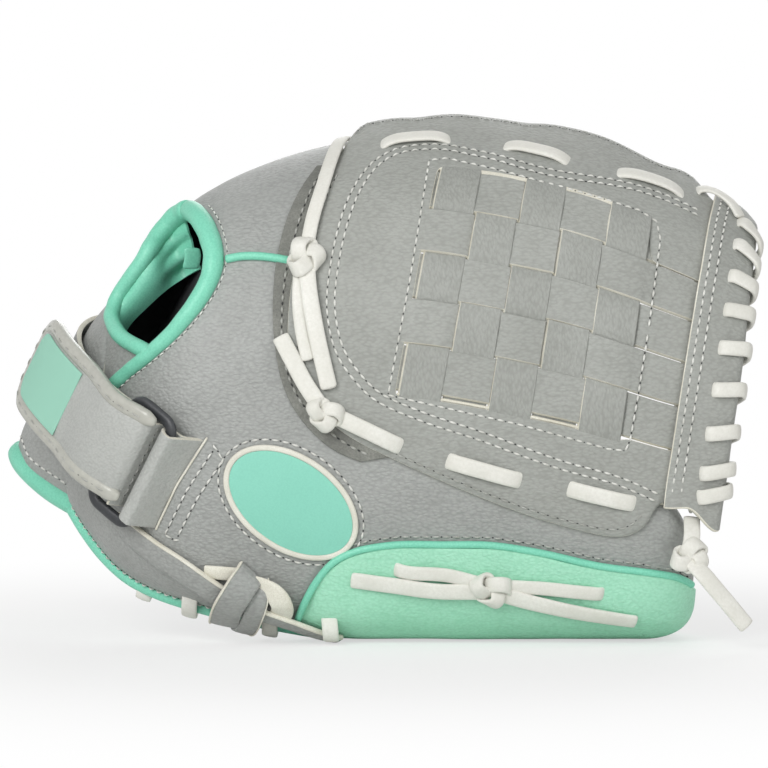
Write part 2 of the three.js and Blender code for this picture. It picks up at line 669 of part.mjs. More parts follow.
// Finger stalls
const FINGER_START = KNUCKLE_X + GAP;
const tipLacePoints = [];
for (let k = 0; k <= 8; k++) {
  const s = lerp(INDEX_CENTRE - 10, INDEX_CENTRE + 3 * FINGER_PITCH + 11, k / 8);
  tipLacePoints.push([lerp(97, 92, k / 8), s, -FINGER_DEPTH * 0.55]);
}
const tipLace = skinRibbon(tipLacePoints, 16, LACE_WIDTH, LACE_THICK, openSkin);
const tipTool = skinRibbon(
  [[97.5, INDEX_CENTRE - 25, -FINGER_DEPTH * 0.55], ...tipLacePoints], 18,
  LACE_WIDTH + 2 * GAP, LACE_THICK + 2 * GAP, openSkin,
);
function fingerPoint(i, u, v, inset) {
  const centre = INDEX_CENTRE + i * FINGER_PITCH;
  const tip = FINGER_TIPS[i] - inset;
  const x = lerp(FINGER_START, tip, Math.sin((u * Math.PI) / 2));
  const a = v * Math.PI;
  const power = 0.55;
  const across = Math.sign(Math.cos(a)) * Math.abs(Math.cos(a)) ** power;
  const rise = Math.abs(Math.sin(a)) ** power;
  const share = noseShare(x, tip, FINGER_NOSE);
  const s = centre + (FINGER_WIDTH / 2 - inset) * across * share;
  const t = -FINGER_DEPTH + lerp(0, (FINGER_DEPTH - inset) * rise, 0.25 + 0.75 * share);
  return openSkin(x, s, share === 0 ? -FINGER_DEPTH + 4 : t);
}
FINGER_NAMES.forEach((name, i) => {
  const body = shell(8, 8,
    (u, v) => fingerPoint(i, u, 1 - v, 0),
    (u, v) => fingerPoint(i, u, 1 - v, SHELL_LEATHER));
  const tools = i === 0 ? [upperTool, tipTool] : [tipTool];
  add(`${name}_finger_stall`, cut(body, ...tools), GREY);
});
add('fingertip_lace', tipLace, LACE);

// Front facing of the four fingers
const facing = [];
facing.push([FINGER_START, INDEX_CENTRE - FINGER_WIDTH / 2]);
FINGER_NAMES.forEach((name, i) => {
  const centre = INDEX_CENTRE + i * FINGER_PITCH;
  const neck = Math.min(FINGER_TIPS[i], FINGER_TIPS[Math.max(i - 1, 0)]) - FINGER_NOSE;
  for (let k = 0; k <= 6; k++) {
    const a = -Math.PI / 2 + (k / 6) * Math.PI;
    const x = FINGER_TIPS[i] - FINGER_NOSE + FINGER_NOSE * Math.cos(a);
    facing.push([k === 0 ? Math.min(x, neck + 4) : x, centre + (FINGER_WIDTH / 2 - 0.6) * Math.sin(a)]);
  }
});
facing.push([FINGER_START, INDEX_CENTRE + 3 * FINGER_PITCH + FINGER_WIDTH / 2]);
add('finger_facing', bent(outline(facing), -PALM_DEPTH - PALM_LEATHER, -PALM_DEPTH, 30, openSkin), GREY);

// Heel lace: wraps round the heel edge through the back and the palm
const HEEL_WRAPS = [-92, -72, -48];
const HEEL_HOLE = 8;
const palmEdgeAt = curveThrough([PALM_HEEL_X, -90, -45, KNUCKLE_X], [-104, -107, -108, -136]);
function heelLacePath() {
  const points = [];
  const centres = [];
  for (const x of HEEL_WRAPS) {
    const e = BACK_EDGE(x);
    const q = palmEdgeAt(x);
    const loop = [
      palm(x - 5, q + HEEL_HOLE + 5, -3),
      skin(x - 3, e + HEEL_HOLE + 2, UNDER_SKIN),
      skin(x - 1, e + HEEL_HOLE - 2, ON_SKIN + 0.6),
      skin(x, e - 1, ON_SKIN + 1.8),
      skin(x + 0.2, e - 6, ON_SKIN + 1.2),
      skin(x + 0.5, e - 12.5, -1),
      palm(x + 1, q - 3, PALM_LEATHER + 1),
      palm(x + 2, q + HEEL_HOLE - 2, PALM_LEATHER + ON_SKIN + 0.6),
      palm(x + 4, q + HEEL_HOLE + 2, -2.2),
    ];
    const centre = loop.reduce((sum, p) => sum.add(p), new THREE.Vector3()).divideScalar(loop.length);
    loop.forEach((p) => {
      points.push(p);
      centres.push(centre);
    });
  }
  return { points, centres };
}
function heelLaceBody(extra) {
  const { points, centres } = heelLacePath();
  const curve = new THREE.CatmullRomCurve3(points, false, 'centripetal');
  const middle = new THREE.CatmullRomCurve3(centres, false, 'centripetal');
  const count = points.length * 2;
  const path = [];
  const faces = [];
  for (let i = 0; i <= count; i++) {
    const p = curve.getPoint(i / count);
    path.push(p);
    faces.push(p.clone().sub(middle.getPoint(i / count)).normalize());
  }
  const section = laceSection(LACE_WIDTH - 1.5 + 2 * extra, LACE_THICK + 2 * extra);
  return sweep(ribbonStations(path, faces), section);
}
const heelTool = heelLaceBody(GAP);
add('hand_back_thumb_side', cut(thumbSideBack, openingTool, bindingTool, lowerTool, heelTool), GREY);
add('heel_lace', heelLaceBody(0), LACE);

// Palm leather of the hand part, with a rounded heel
const HEEL_ROUND = 20;
const CLOSING_ROOM = 5;
function palmGrid(u, v, t) {
  const end = KNUCKLE_X - GAP - CLOSING_ROOM * smooth(v, 0.6, 0.7);
  const x = lerp(PALM_HEEL_X + HEEL_ROUND * Math.abs(2 * v - 1) ** 4, end, u);
  return palm(x, lerp(palmEdgeAt(x), 202, v), t);
}
const palmSheet = shell(10, 15, (u, v) => palmGrid(u, v, 0), (u, v) => palmGrid(u, v, PALM_LEATHER));
add('palm_leather', cut(palmSheet, heelTool), GREY);

// Front facing of the thumb
const THUMB_FRONT_TIP = 111;
function thumbFront(u, v, t) {
  const x = lerp(KNUCKLE_X + GAP, THUMB_FRONT_TIP, Math.sin((u * Math.PI) / 2));
  const s = lerp(S_THUMB - SIDE_RADIUS + 3, sAt(x, THUMB_EDGE(x) - 5), v);
  return palm(x, lerp(THUMB_CENTRE - 10, s, noseShare(x, THUMB_FRONT_TIP, THUMB_NOSE)), t);
}
const thumbFacing = shell(7, 9, (u, v) => thumbFront(u, v, 0), (u, v) => thumbFront(u, v, PALM_LEATHER));
add('thumb_facing', thumbFacing, GREY);

// Felt heel pads and the lining over them, inside the hand
const PAD_THICK = 6;
const LINING_THICK = 1.2;
const PAD_SEAT = 1.1;
const LINING_SEAT = 2;
const padOutline = (low, high) => outline(smoothOutline([
  [-112, lerp(low, high, 0.25)], [-96, low], [-72, low], [-60, lerp(low, high, 0.4)],
  [-66, high], [-96, high], [-112, lerp(low, high, 0.75)],
], 18));
add('thumb_heel_pad', bent(padOutline(-62, 10), -PAD_SEAT, -PAD_SEAT - PAD_THICK, 17, palm), 0xd8d4c8);
add('little_heel_pad', bent(padOutline(84, 150), -PAD_SEAT, -PAD_SEAT - PAD_THICK, 17, palm), 0xd8d4c8);
const liningIn = PAD_SEAT + PAD_THICK + LINING_SEAT;
const liningOutline = outline([
  [-116, -36], [-100, -64], [-60, -64], [-56, 0], [-56, 140], [-60, 160], [-100, 160], [-116, 138],
]);
add('palm_lining', bent(liningOutline, -liningIn, -liningIn - LINING_THICK, 26, palm), BLACK);

// Web: pattern of the woven window and the frame round it
const weaveCorners = [WEAVE_LEFT_BOTTOM, WEAVE_RIGHT_BOTTOM, WEAVE_LEFT_TOP, WEAVE_RIGHT_TOP]
  .map(([x, z]) => front(x, z));
function weaveAt(a, b) {
  const mix = (k) => lerp(
    lerp(weaveCorners[0][k], weaveCorners[1][k], a),
    lerp(weaveCorners[2][k], weaveCorners[3][k], a),
    b,
  );
  return [mix(0), mix(1)];
}
const WEAVE_LEVEL = OVERLAY_IN + WEB_LEATHER / 2;
const WINDOW_MARGIN = 0.06;
const barEnds = [front(...BAR_BOTTOM), front(...BAR_TOP)];
const barLine = (b, c = 0) => [
  lerp(barEnds[0][0], barEnds[1][0], b) + c,
  lerp(barEnds[0][1], barEnds[1][1], b),
];
const WEB_END = -4;

// Line between the web panel and the index flap, on the hinge side of the index finger
const FLAP_LINE = curveThrough([-16, -3.4, 21, 66, 96, 128], [175, 182, 186, 178, 171, 161]);
const flapLine = (x, shift) => [x, sAt(x, FLAP_LINE(x)) + shift];
const webOutline = [
  barLine(0.06, WEB_END),
  ...smoothOutline([
    [103, 53], [100, 46.5], [88.5, 42.4], [66, 47], [36, 57.5], [6, 70], [-13, 79.5], [-27, 91], [-35, 107],
    [-36.4, 124], [-34, 142], [-29, 156], [-22, 168], [-16, 174],
  ].map(([x, z]) => front(x, z)), 22, false),
  ...[-3, 9, 21, 40, 60, 80, 100, 116].map((x) => flapLine(x, -GAP)),
  barLine(0.975, WEB_END),
  weaveAt(1.27, 1 + WINDOW_MARGIN),
  weaveAt(1, 1 + WINDOW_MARGIN),
  weaveAt(0.5, 1 + WINDOW_MARGIN),
  weaveAt(-0.035, 1 + WINDOW_MARGIN),
  weaveAt(-0.035, -WINDOW_MARGIN),
  weaveAt(0.5, -WINDOW_MARGIN),
  weaveAt(1, -WINDOW_MARGIN),
  weaveAt(1.24, -WINDOW_MARGIN),
];
const webPanel = bent(outline(webOutline.reverse()), OVERLAY_IN, OVERLAY_OUT, 22);
add('web_panel', cut(webPanel, lowerTool, crotchTool), WEB_GREY);

const flapScallop = (x) => 120.5 + 2 * Math.abs(Math.sin(((x + 12) / 42) * Math.PI));
const flapOutline = [
  ...[-12, -3, 9, 21, 40, 60, 80, 100, 114].map((x) => flapLine(x, GAP)),
  [116, 112], [111, 119],
  ...[104, 92, 80, 71, 60, 50, 40, 30, 18, 8, -2].map((x) => [x, flapScallop(x)]),
  [-10, 119], [-13, 112],
];
add('web_index_flap', cut(bent(outline(flapOutline), OVERLAY_IN, OVERLAY_OUT, 17), upperTool), WEB_GREY);
add('web_index_lace', upperLace, LACE);

// Plain weave: each strip is level where it crosses another and slopes in the gaps between
const CROSSING = (STRIP_SHARE + 0.04) / 2 / WEAVE_COUNT;
function strip(stops, place) {
  const half = STRIP_SHARE / 2 / WEAVE_COUNT;
  const side = (lift) => (u, v) => {
    const [along, t] = stops[Math.round(u * (stops.length - 1))];
    const [a, b] = place(along, lerp(-half, half, v));
    return skin(...weaveAt(a, b), t + lift * (STRIP_LEATHER / 2));
  };
  return { columns: stops.length - 1, top: side(1), under: side(-1) };
}
const WEFT_START = -0.02;
const WEFT_END = 1.24;
const WARP_TUCK = 0.12;
const WARP_TUCK_TOP = 0.085;
for (let k = 0; k < WEAVE_COUNT; k++) {
  const at = (k + 0.5) / WEAVE_COUNT;
  const tuck = OVERLAY_IN - GAP - STRIP_LEATHER / 2;
  const weft = [[WEFT_START, WEAVE_LEVEL]];
  const warp = [[-WARP_TUCK, tuck], [-WINDOW_MARGIN, tuck]];
  for (let i = 0; i < WEAVE_COUNT; i++) {
    const centre = (i + 0.5) / WEAVE_COUNT;
    const over = (i + k) % 2 === 0 ? WEAVE_WAVE : -WEAVE_WAVE;
    for (const c of [centre - CROSSING, centre + CROSSING]) {
      weft.push([c, WEAVE_LEVEL - over]);
      warp.push([c, WEAVE_LEVEL + over]);
    }
  }
  weft.push([1.04, WEAVE_LEVEL], [WEFT_END, WEAVE_LEVEL]);
  warp.push([1 + WINDOW_MARGIN, tuck], [1 + WARP_TUCK_TOP, tuck]);
  const row = strip(weft, (c, d) => [c, at + d]);
  add(`web_weft_${k + 1}`, shell(row.columns, 1, row.top, row.under), WEB_GREY);
  const column = strip(warp, (c, d) => [at - d, c]);
  add(`web_warp_${k + 1}`, shell(column.columns, 1, column.top, column.under), WEB_GREY);
}

// Folded top bar: a leather channel over the strip ends, laced along its outer edge
const barFrame = (b) => {
  const [x, s] = barLine(b);
  const across = skin(x + 1, s).sub(skin(x - 1, s)).normalize();
  return { p: skin(x, s, WEAVE_LEVEL), across, up: skinNormal(x, s) };
};
const BAR_IN = BAR_CAVITY / 2;
const BAR_OUT = BAR_IN + BAR_LEATHER;
const barSection = [
  [-BAR_HALF_WIDTH, -BAR_OUT], [BAR_HALF_WIDTH - 2, -BAR_OUT], [BAR_HALF_WIDTH, -BAR_OUT + 2],
  [BAR_HALF_WIDTH, BAR_OUT - 2], [BAR_HALF_WIDTH - 2, BAR_OUT], [-BAR_HALF_WIDTH, BAR_OUT],
  [-BAR_HALF_WIDTH, BAR_IN], [BAR_HALF_WIDTH - BAR_LEATHER, BAR_IN],
  [BAR_HALF_WIDTH - BAR_LEATHER, -BAR_IN], [-BAR_HALF_WIDTH, -BAR_IN],
];
const barStations = [];
for (let i = 0; i <= 8; i++) barStations.push(barFrame(lerp(1.02, -0.02, i / 8)));
const barBody = sweep(barStations, barSection);
const BAR_HOLE = 0;
const BAR_LACE_WIDTH = LACE_WIDTH - 0.6;
const TURN_STEPS = 8;
function barLacePath() {
  const reach = BAR_HALF_WIDTH + LACE_SEAT + LACE_THICK;
  const middle = (reach + BAR_HOLE) / 2;
  const half = (reach - BAR_HOLE) / 2;
  const high = BAR_OUT + 2 * LACE_SEAT + LACE_THICK / 2;
  const path = [];
  const faces = [];
  const steps = BAR_WRAPS * TURN_STEPS;
  for (let i = 0; i <= steps; i++) {
    const turn = Math.PI * 0.6 - (2 * Math.PI * i) / TURN_STEPS;
    const box = (c) => Math.sign(c) * Math.abs(c) ** 0.5;
    const frame = barFrame(lerp(0.94, 0.05, i / steps));
    path.push(frame.p.clone()
      .addScaledVector(frame.across, middle + half * box(Math.cos(turn)))
      .addScaledVector(frame.up, high * box(Math.sin(turn))));
    const outward = frame.across.clone().multiplyScalar(Math.cos(turn));
    faces.push(outward.addScaledVector(frame.up, Math.sin(turn)).normalize());
  }
  return { path, faces };
}
function barLaceBody(extra) {
  const { path, faces } = barLacePath();
  const section = laceSection(BAR_LACE_WIDTH + 2 * extra, LACE_THICK - 0.2 + 2 * extra);
  return sweep(ribbonStations(path, faces), section);
}
// Least gap between neighbouring turns of the winding, on the points of its centre line
const barTurns = barLacePath().path;
const turnGaps = barTurns.slice(TURN_STEPS).map((p, i) => p.distanceTo(barTurns[i]) - BAR_LACE_WIDTH);
console.log(`web top lace: least gap between turns ${Math.min(...turnGaps).toFixed(2)} mm`);
add('web_top_bar', cut(barBody, barLaceBody(GAP)), WEB_GREY);
add('web_top_lace', barLaceBody(0), LACE);

// Thumb web lace: a knot near the crotch, then stitches along the lower web edge
const lowerKnot = front(-22, 89);
const lowerTail = skinRibbon([
  [...lowerKnot.slice(0, 2), ON_WEB + 1], front(-31, 100, ON_WEB + 1), front(-38, 116, ON_WEB),
], 8);
add('web_thumb_lace', join(lowerLace, lowerTail, skinKnot(lowerKnot, OVERLAY_OUT + GAP, [1, 0, -0.5])), LACE);

// Crotch lace: out of the web panel to a knot, with one tail up and one down
const fromCrotchKnot = (lift) => [...crotchKnot.slice(0, 2), lift];
add('crotch_lace', join(
  skinRibbon(crotchRoute, 12),
  skinRibbon([fromCrotchKnot(ON_WEB + 1.5), front(-30, 165, ON_WEB + 1), front(-20, 183, ON_WEB)], 8),
  skinRibbon([fromCrotchKnot(ON_WEB + 1), front(-26, 124, ON_WEB), front(-20, 104, ON_WEB)], 8),
  skinKnot(crotchKnot, OVERLAY_OUT + GAP, [0.4, 0, 1]),
), LACE);

// Web tip lace: from the foot of the bar to a knot on the thumb tip, with a hanging tail
const tipKnot = skin(113, sAt(113, 37), ON_PANEL + 6);
const tipRoute = [
  skin(...barLine(0.01, -3.5), WEAVE_LEVEL), skin(...barLine(-0.07, -3), WEAVE_LEVEL + 3), tipKnot,
  new THREE.Vector3(121, -4, 26), new THREE.Vector3(129, -3, 17), new THREE.Vector3(136, -1, 9),
];
const tipCurve = new THREE.CatmullRomCurve3(tipRoute, false, 'centripetal').getPoints(20);
const facingOut = tipCurve.map(() => new THREE.Vector3(0.25, -1, 0.1).normalize());
add('web_tip_lace', join(
  sweep(ribbonStations(tipCurve, facingOut), laceSection(LACE_WIDTH - 0.6, LACE_THICK)),
  knot(tipKnot, new THREE.Vector3(1, 0, 0.4), new THREE.Vector3(0, -1, 0)),
), LACE);

// Oval patch with a raised border, on the hand back below the web
const PATCH_AT = [-35, 55];
const PATCH_LONG = 26;
const PATCH_SHORT = 16;
const PATCH_TILT = -0.61;
const PATCH_THICK = 1.1;
const BORDER_WIDTH = 2.2;
function ovalPoints(grow, count) {
  const points = [];
  for (let i = 0; i < count; i++) {
    const a = (2 * Math.PI * i) / count;
    const along = (PATCH_LONG + grow) * Math.cos(a);
    const across = (PATCH_SHORT + grow) * Math.sin(a);
    const x = PATCH_AT[0] + along * Math.cos(PATCH_TILT) - across * Math.sin(PATCH_TILT);
    const z = PATCH_AT[1] + along * Math.sin(PATCH_TILT) + across * Math.cos(PATCH_TILT);
    points.push(front(x, z).slice(0, 2));
  }
  return points;
}
add('oval_patch', bent(outline(ovalPoints(0, 24)), GAP, GAP + PATCH_THICK, 14), 0x8bd3be);
const border = outline(ovalPoints(GAP + BORDER_WIDTH, 28));
border.holes.push(new THREE.Path(ovalPoints(GAP, 28).map(([x, s]) => new THREE.Vector2(x, s))));
add('oval_patch_border', bent(border, GAP, GAP + PATCH_THICK + 0.4, 14), 0xe3e1d4);

// Plastic ring, round in section
const ringCorner = 5;
const ringHalf = RING_LENGTH / 2 - RING_BAR;
const ringPath = [];
for (const [sl, sm, turn] of [[1, 1, 0], [-1, 1, 1], [-1, -1, 2], [1, -1, 3]]) {
  for (let i = 0; i <= 3; i++) {
    const a = ((turn + i / 3) * Math.PI) / 2;
    ringPath.push(ringPoint(
      sl * (ringHalf - ringCorner) + ringCorner * Math.cos(a),
      sm * (BAR_OFFSET - ringCorner) + ringCorner * Math.sin(a),
      0,
    ));
  }
}
add('strap_ring', clean(tube(ringPath, RING_BAR, 24, true)), BLACK, 0.4);

// Strap fold and ring keeper: leather turned round the two long bars of the ring
function halfRing(centre, from, inner, outer) {
  const points = [];
  for (let i = 0; i <= 6; i++) {
    const a = from + (Math.PI * i) / 6;
    points.push([centre + outer * Math.cos(a), outer * Math.sin(a)]);
  }
  for (let i = 6; i >= 0; i--) {
    const a = from + (Math.PI * i) / 6;
    points.push([centre + inner * Math.cos(a), inner * Math.sin(a)]);
  }
  return points;
}
function alongRing(section, width) {
  const stations = [-0.5, 0.5].map((e) => ({ p: ringPoint(e * width, 0, 0), across: ringM, up: ringK }));
  return sweep(stations, section);
}
add('strap_fold', alongRing(halfRing(BAR_OFFSET, Math.PI / 2, foldIn, foldOut), STRAP_WIDTH), GREY);
const KEEPER_LEATHER = 1.6;
const keeperOut = foldIn + KEEPER_LEATHER;
const keeperDrop = (m) => (m + BAR_OFFSET) ** 2 / (2 * WRIST_RADIUS);
const keeperTurn = halfRing(-BAR_OFFSET, -Math.PI / 2, foldIn, keeperOut);
const keeperLeg = (k) => [-8, -16, -KEEPER_LENGTH].map((d) => {
  const m = -BAR_OFFSET + d;
  const settle = k > 0 ? lerp(k, -keeperOut + 2 * KEEPER_LEATHER + GAP, smooth(-d, 4, 16)) : k;
  return [m, settle - keeperDrop(m)];
});
const keeperTopOut = keeperLeg(keeperOut);
const keeperTopIn = keeperTopOut.map(([m, k]) => [m, k - KEEPER_LEATHER]);
const keeperLowOut = keeperLeg(-keeperOut);
const keeperLowIn = keeperLowOut.map(([m, k]) => [m, k + KEEPER_LEATHER]);
const keeperSection = [
  ...keeperTurn.slice(0, 7), ...keeperTopOut, ...keeperTopIn.reverse(),
  ...keeperTurn.slice(7), ...keeperLowIn, ...keeperLowOut.reverse(),
];
add('ring_keeper', alongRing(keeperSection, STRAP_WIDTH + 2), GREY);

// Wrist strap: base, fastening tapes, flap with its binding and label
const BAND_START = GAP;
const TAPE_THICK = 1;
const flapIn = foldOut + GAP;
// Past the ring the flap settles until its hook tape meets the loop tape on the base
const FLAP_SETTLE = flapIn + foldIn - 2 * TAPE_THICK - 3 * GAP;
// It also widens there, so that its narrow start swings clear of the ring
const flapBand = (a, q, k) => {
  const widen = smooth(a, 4, 18);
  const across = q * lerp(STRAP_WIDTH / FLAP_WIDTH, 1, widen) - FLAP_RISE * widen;
  return band(a, across, k - FLAP_SETTLE * smooth(a, 3, 24));
};
const flapOut = flapIn + FLAP_THICK;
const coreHalf = FLAP_WIDTH / 2 - FLAP_BINDING - GAP;
const baseShape = bandShape(BAND_START, BASE_LENGTH, STRAP_WIDTH / 2, 6);
add('strap_base', bent(baseShape, -foldOut, -foldIn, 20, band), GREY);
add('loop_tape', bent(bandShape(9, FLAP_LENGTH + 4, STRAP_WIDTH / 2 - 4, 3),
  -foldIn + GAP, -foldIn + GAP + TAPE_THICK, 20, band), BLACK, 0.9);
const flapCore = bandShape(BAND_START, FLAP_LENGTH - FLAP_BINDING - GAP, coreHalf, 3);
add('strap_flap', bent(flapCore, flapIn, flapOut, 14, flapBand), GREY);
const rimOuter = bandShape(BAND_START, FLAP_LENGTH, FLAP_WIDTH / 2, 7).getPoints(6);
const rimInner = bandShape(BAND_START, FLAP_LENGTH - FLAP_BINDING, coreHalf + GAP, 3).getPoints(4);
const rim = new THREE.Shape([...rimOuter, ...rimInner.reverse()]);
add('flap_binding', bent(rim, flapIn, flapOut + 0.4, 17, flapBand), 0xb4b4aa, 0.4);
const labelShape = bandShape(FLAP_LENGTH - 36, FLAP_LENGTH - 10, coreHalf - 0.8, 1);
add('flap_label', bent(labelShape, flapOut + GAP, flapOut + GAP + 0.6, 14, flapBand), 0xa8dcc8);
add('hook_tape', bent(bandShape(12, FLAP_LENGTH - 10, coreHalf - 0.6, 3),
  flapIn - GAP - TAPE_THICK, flapIn - GAP, 14, flapBand), BLACK, 0.9);

// Grey pull strap: a leather lace from under the ring to a knot, with one tail
const PULL_WIDTH = 7.5;
const pullKnot = front(-58, 23);
const ON_PULL = ON_SKIN + LACE_THICK + 2 * LACE_SEAT;
const pullMiddle = [...pullKnot.slice(0, 2), ON_PULL];
add('pull_strap', join(
  skinRibbon([front(-94, 45, ON_SKIN), front(-78, 34, ON_SKIN + 1), pullMiddle], 10, PULL_WIDTH),
  skinRibbon([pullMiddle, front(-45, 17, ON_PULL + 1.5), front(-27, 10, ON_PULL)], 10, PULL_WIDTH),
  skinKnot(pullKnot, GAP * 2, [1, 0, -0.6]),
), GREY);

// The origin is under the middle of the glove, on the surface that it lies on
const bounds = new THREE.Box3().setFromObject(glove);
const middle = bounds.getCenter(new THREE.Vector3());
glove.position.set(-middle.x, -middle.y, -bounds.min.z);

export default glove;
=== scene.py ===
import math
from functools import partial

import bpy
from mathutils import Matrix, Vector, noise


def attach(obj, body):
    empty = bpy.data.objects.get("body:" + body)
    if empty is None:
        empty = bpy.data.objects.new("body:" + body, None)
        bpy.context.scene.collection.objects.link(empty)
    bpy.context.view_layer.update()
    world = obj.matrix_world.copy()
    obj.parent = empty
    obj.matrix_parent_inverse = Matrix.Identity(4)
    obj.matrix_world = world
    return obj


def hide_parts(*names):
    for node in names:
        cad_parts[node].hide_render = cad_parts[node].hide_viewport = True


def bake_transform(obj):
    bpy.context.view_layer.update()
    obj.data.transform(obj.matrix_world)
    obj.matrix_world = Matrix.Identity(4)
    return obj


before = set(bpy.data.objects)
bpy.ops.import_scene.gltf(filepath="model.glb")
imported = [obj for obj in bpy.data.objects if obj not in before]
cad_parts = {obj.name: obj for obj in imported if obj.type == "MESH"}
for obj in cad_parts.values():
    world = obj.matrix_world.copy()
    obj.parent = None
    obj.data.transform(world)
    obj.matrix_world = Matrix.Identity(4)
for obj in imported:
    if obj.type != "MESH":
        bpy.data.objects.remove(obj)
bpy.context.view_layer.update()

# The glove's formulas, in millimetres, much as the solids use them. SHIFT puts the origin under the middle.
MM = 0.001
SHIFT = Vector((-1.0339, -59.5474, 0.0))
NEAR_ZERO = 1e-6


def place(p):
    return (p + SHIFT) * MM


def lerp(a, b, t):
    return a + (b - a) * t


def smooth(x, low, high):
    t = min(max((x - low) / (high - low), 0.0), 1.0)
    return t * t * (3 - 2 * t)


# Smooth curve through points, without overshoot
def curve_through(xs, ys):
    slopes = [(b - a) / (d - c) for a, b, c, d in zip(ys, ys[1:], xs, xs[1:])]
    tangents = [slopes[0]]
    for a, b in zip(slopes, slopes[1:]):
        tangents.append(0.0 if a * b <= 0 else 2 * a * b / (a + b))
    tangents.append(slopes[-1])

    def value(x):
        if x <= xs[0]:
            return ys[0] + tangents[0] * (x - xs[0])
        if x >= xs[-1]:
            return ys[-1] + tangents[-1] * (x - xs[-1])
        i = 0
        while x > xs[i + 1]:
            i += 1
        h = xs[i + 1] - xs[i]
        u = (x - xs[i]) / h
        v = 1 - u
        return (ys[i] * (1 + 2 * u) * v * v + tangents[i] * h * u * v * v
                + ys[i + 1] * u * u * (3 - 2 * u) - tangents[i + 1] * h * u * u * v)
    return value


def curve_of(points):
    return curve_through(*zip(*points))


# Where a test stops being true, by halving the range
def solve(is_below, low, high, rounds):
    for _ in range(rounds):
        middle = (low + high) / 2
        if is_below(middle):
            low = middle
        else:
            high = middle
    return (low + high) / 2


# Outline of the cross-section: arcs and straights that follow one another
def arc_chain(arcs):
    starts = []
    y = z = angle = begin = 0.0

    def walk(arc, d):
        _, radius, y0, z0, a0 = arc
        if radius is None:
            return y0 + math.sin(a0) * d, z0 + math.cos(a0) * d, a0
        a = a0 + d / radius
        return y0 + radius * (math.cos(a0) - math.cos(a)), z0 + radius * (math.sin(a) - math.sin(a0)), a

    for length, radius in arcs:
        starts.append((begin, radius, y, z, angle))
        y, z, angle = walk(starts[-1], length)
        begin += length

    def point(d):
        i = len(starts) - 1
        while i > 0 and d < starts[i][0]:
            i -= 1
        return walk(starts[i], d - starts[i][0])
    return point


GAP = 0.35
FRONT_RADIUS, FRONT_HALF = 190, 65
TOP_CORNER_RADIUS, TOP_WALL_RADIUS, TOP_WALL_LENGTH = 52, 150, 66
THUMB_CORNER_RADIUS, THUMB_FLAT = 28, 28
SIDE_RADIUS, SIDE_WALL = 13, 9
FLOOR = 2.1
TOP_LINE = curve_through([-140, -128, -116, -103, -88, -73, -50, -16, 20, 60, 100, 130, 140],
                         [88, 104, 120, 136, 156, 170, 182, 192, 197, 194, 183, 168, 161])
BOTTOM_LINE = curve_through([-140, -128, -116, -103, -88, -73, -50, -16, 100, 130, 140],
                            [70, 58, 41, 27, 19, 14, 8, FLOOR, FLOOR, 9, 14])
FRONT_ANGLE = FRONT_HALF / FRONT_RADIUS
TOP_CORNER = TOP_CORNER_RADIUS * (math.pi / 2 - FRONT_ANGLE)
THUMB_CORNER = THUMB_CORNER_RADIUS * (math.pi / 2 - FRONT_ANGLE)
ROLL = SIDE_RADIUS * math.pi / 2
UPPER = [(FRONT_HALF, FRONT_RADIUS), (TOP_CORNER, TOP_CORNER_RADIUS), (TOP_WALL_LENGTH, TOP_WALL_RADIUS)]
LOWER = [(FRONT_HALF, FRONT_RADIUS), (THUMB_CORNER, THUMB_CORNER_RADIUS), (THUMB_FLAT, None)]
ROLLS = [(ROLL, SIDE_RADIUS), (SIDE_WALL, None)]
S_TOP = FRONT_HALF + TOP_CORNER
S_PINKIE = S_TOP + TOP_WALL_LENGTH
S_BOTTOM = -(FRONT_HALF + THUMB_CORNER)
S_THUMB = S_BOTTOM - THUMB_FLAT
ROLL_REACH = ROLL + SIDE_WALL
ROLLED = (arc_chain(UPPER + ROLLS), arc_chain(LOWER + ROLLS))
OPEN = (arc_chain(UPPER), arc_chain(LOWER))
SECTION_TOP = ROLLED[0](S_TOP)[1]
SECTION_BOTTOM = -ROLLED[1](-S_BOTTOM)[1]


# Seen from above, the front bows back towards the heel and towards the fingertips
HEEL_BOW, HEEL_BOW_RATE = -62, 84
TIP_BOW, TIP_BOW_RATE = 90, 260
LEAST_DEPTH = 0.42
STEP = 0.4


def front_line(x):
    if x < HEEL_BOW:
        return (x - HEEL_BOW) ** 2 / HEEL_BOW_RATE
    if x > TIP_BOW:
        return (x - TIP_BOW) ** 2 / TIP_BOW_RATE
    return 0.0


# Skin of the glove: x along the hand, s round the section, t outwards
def skin_point(x, s, chain):
    if s >= 0:
        y, height, _ = chain[0](s)
    else:
        y, height, _ = chain[1](-s)
        height = -height
    low = BOTTOM_LINE(x)
    scale = (TOP_LINE(x) - low) / (SECTION_TOP - SECTION_BOTTOM)
    depth = lerp(LEAST_DEPTH, 1, min(scale, 1))
    return Vector((x, front_line(x) + y * depth, low + (height - SECTION_BOTTOM) * scale))


def skin_normal(x, s, chain=ROLLED):
    along = skin_point(x + STEP, s, chain) - skin_point(x - STEP, s, chain)
    across = skin_point(x, s + STEP, chain) - skin_point(x, s - STEP, chain)
    return along.cross(across).normalized()


# Dents of worked leather (depth, rate, place in the noise), the same in every layer so that layers nest
DENTS = ((0.55, 0.035, 3.1), (0.22, 0.09, 8.7))
DENT_MIDDLE = 0.15


def dent(x, s):
    return sum(depth * noise.noise(Vector((x * rate, s * rate, at))) for depth, rate, at in DENTS)


def skin(x, s, t=0.0, chain=ROLLED):
    return skin_point(x, s, chain) + skin_normal(x, s, chain) * (t + dent(x, s) - DENT_MIDDLE)


def open_skin(x, s, t=0.0):
    return skin(x, s, t, OPEN)


# Pattern places on the front, given x and height
def s_at(x, z):
    return solve(lambda s: skin_point(x, s, ROLLED).z < z, S_BOTTOM, S_TOP, 28)


def at_height(x, z):
    return x, s_at(x, z)


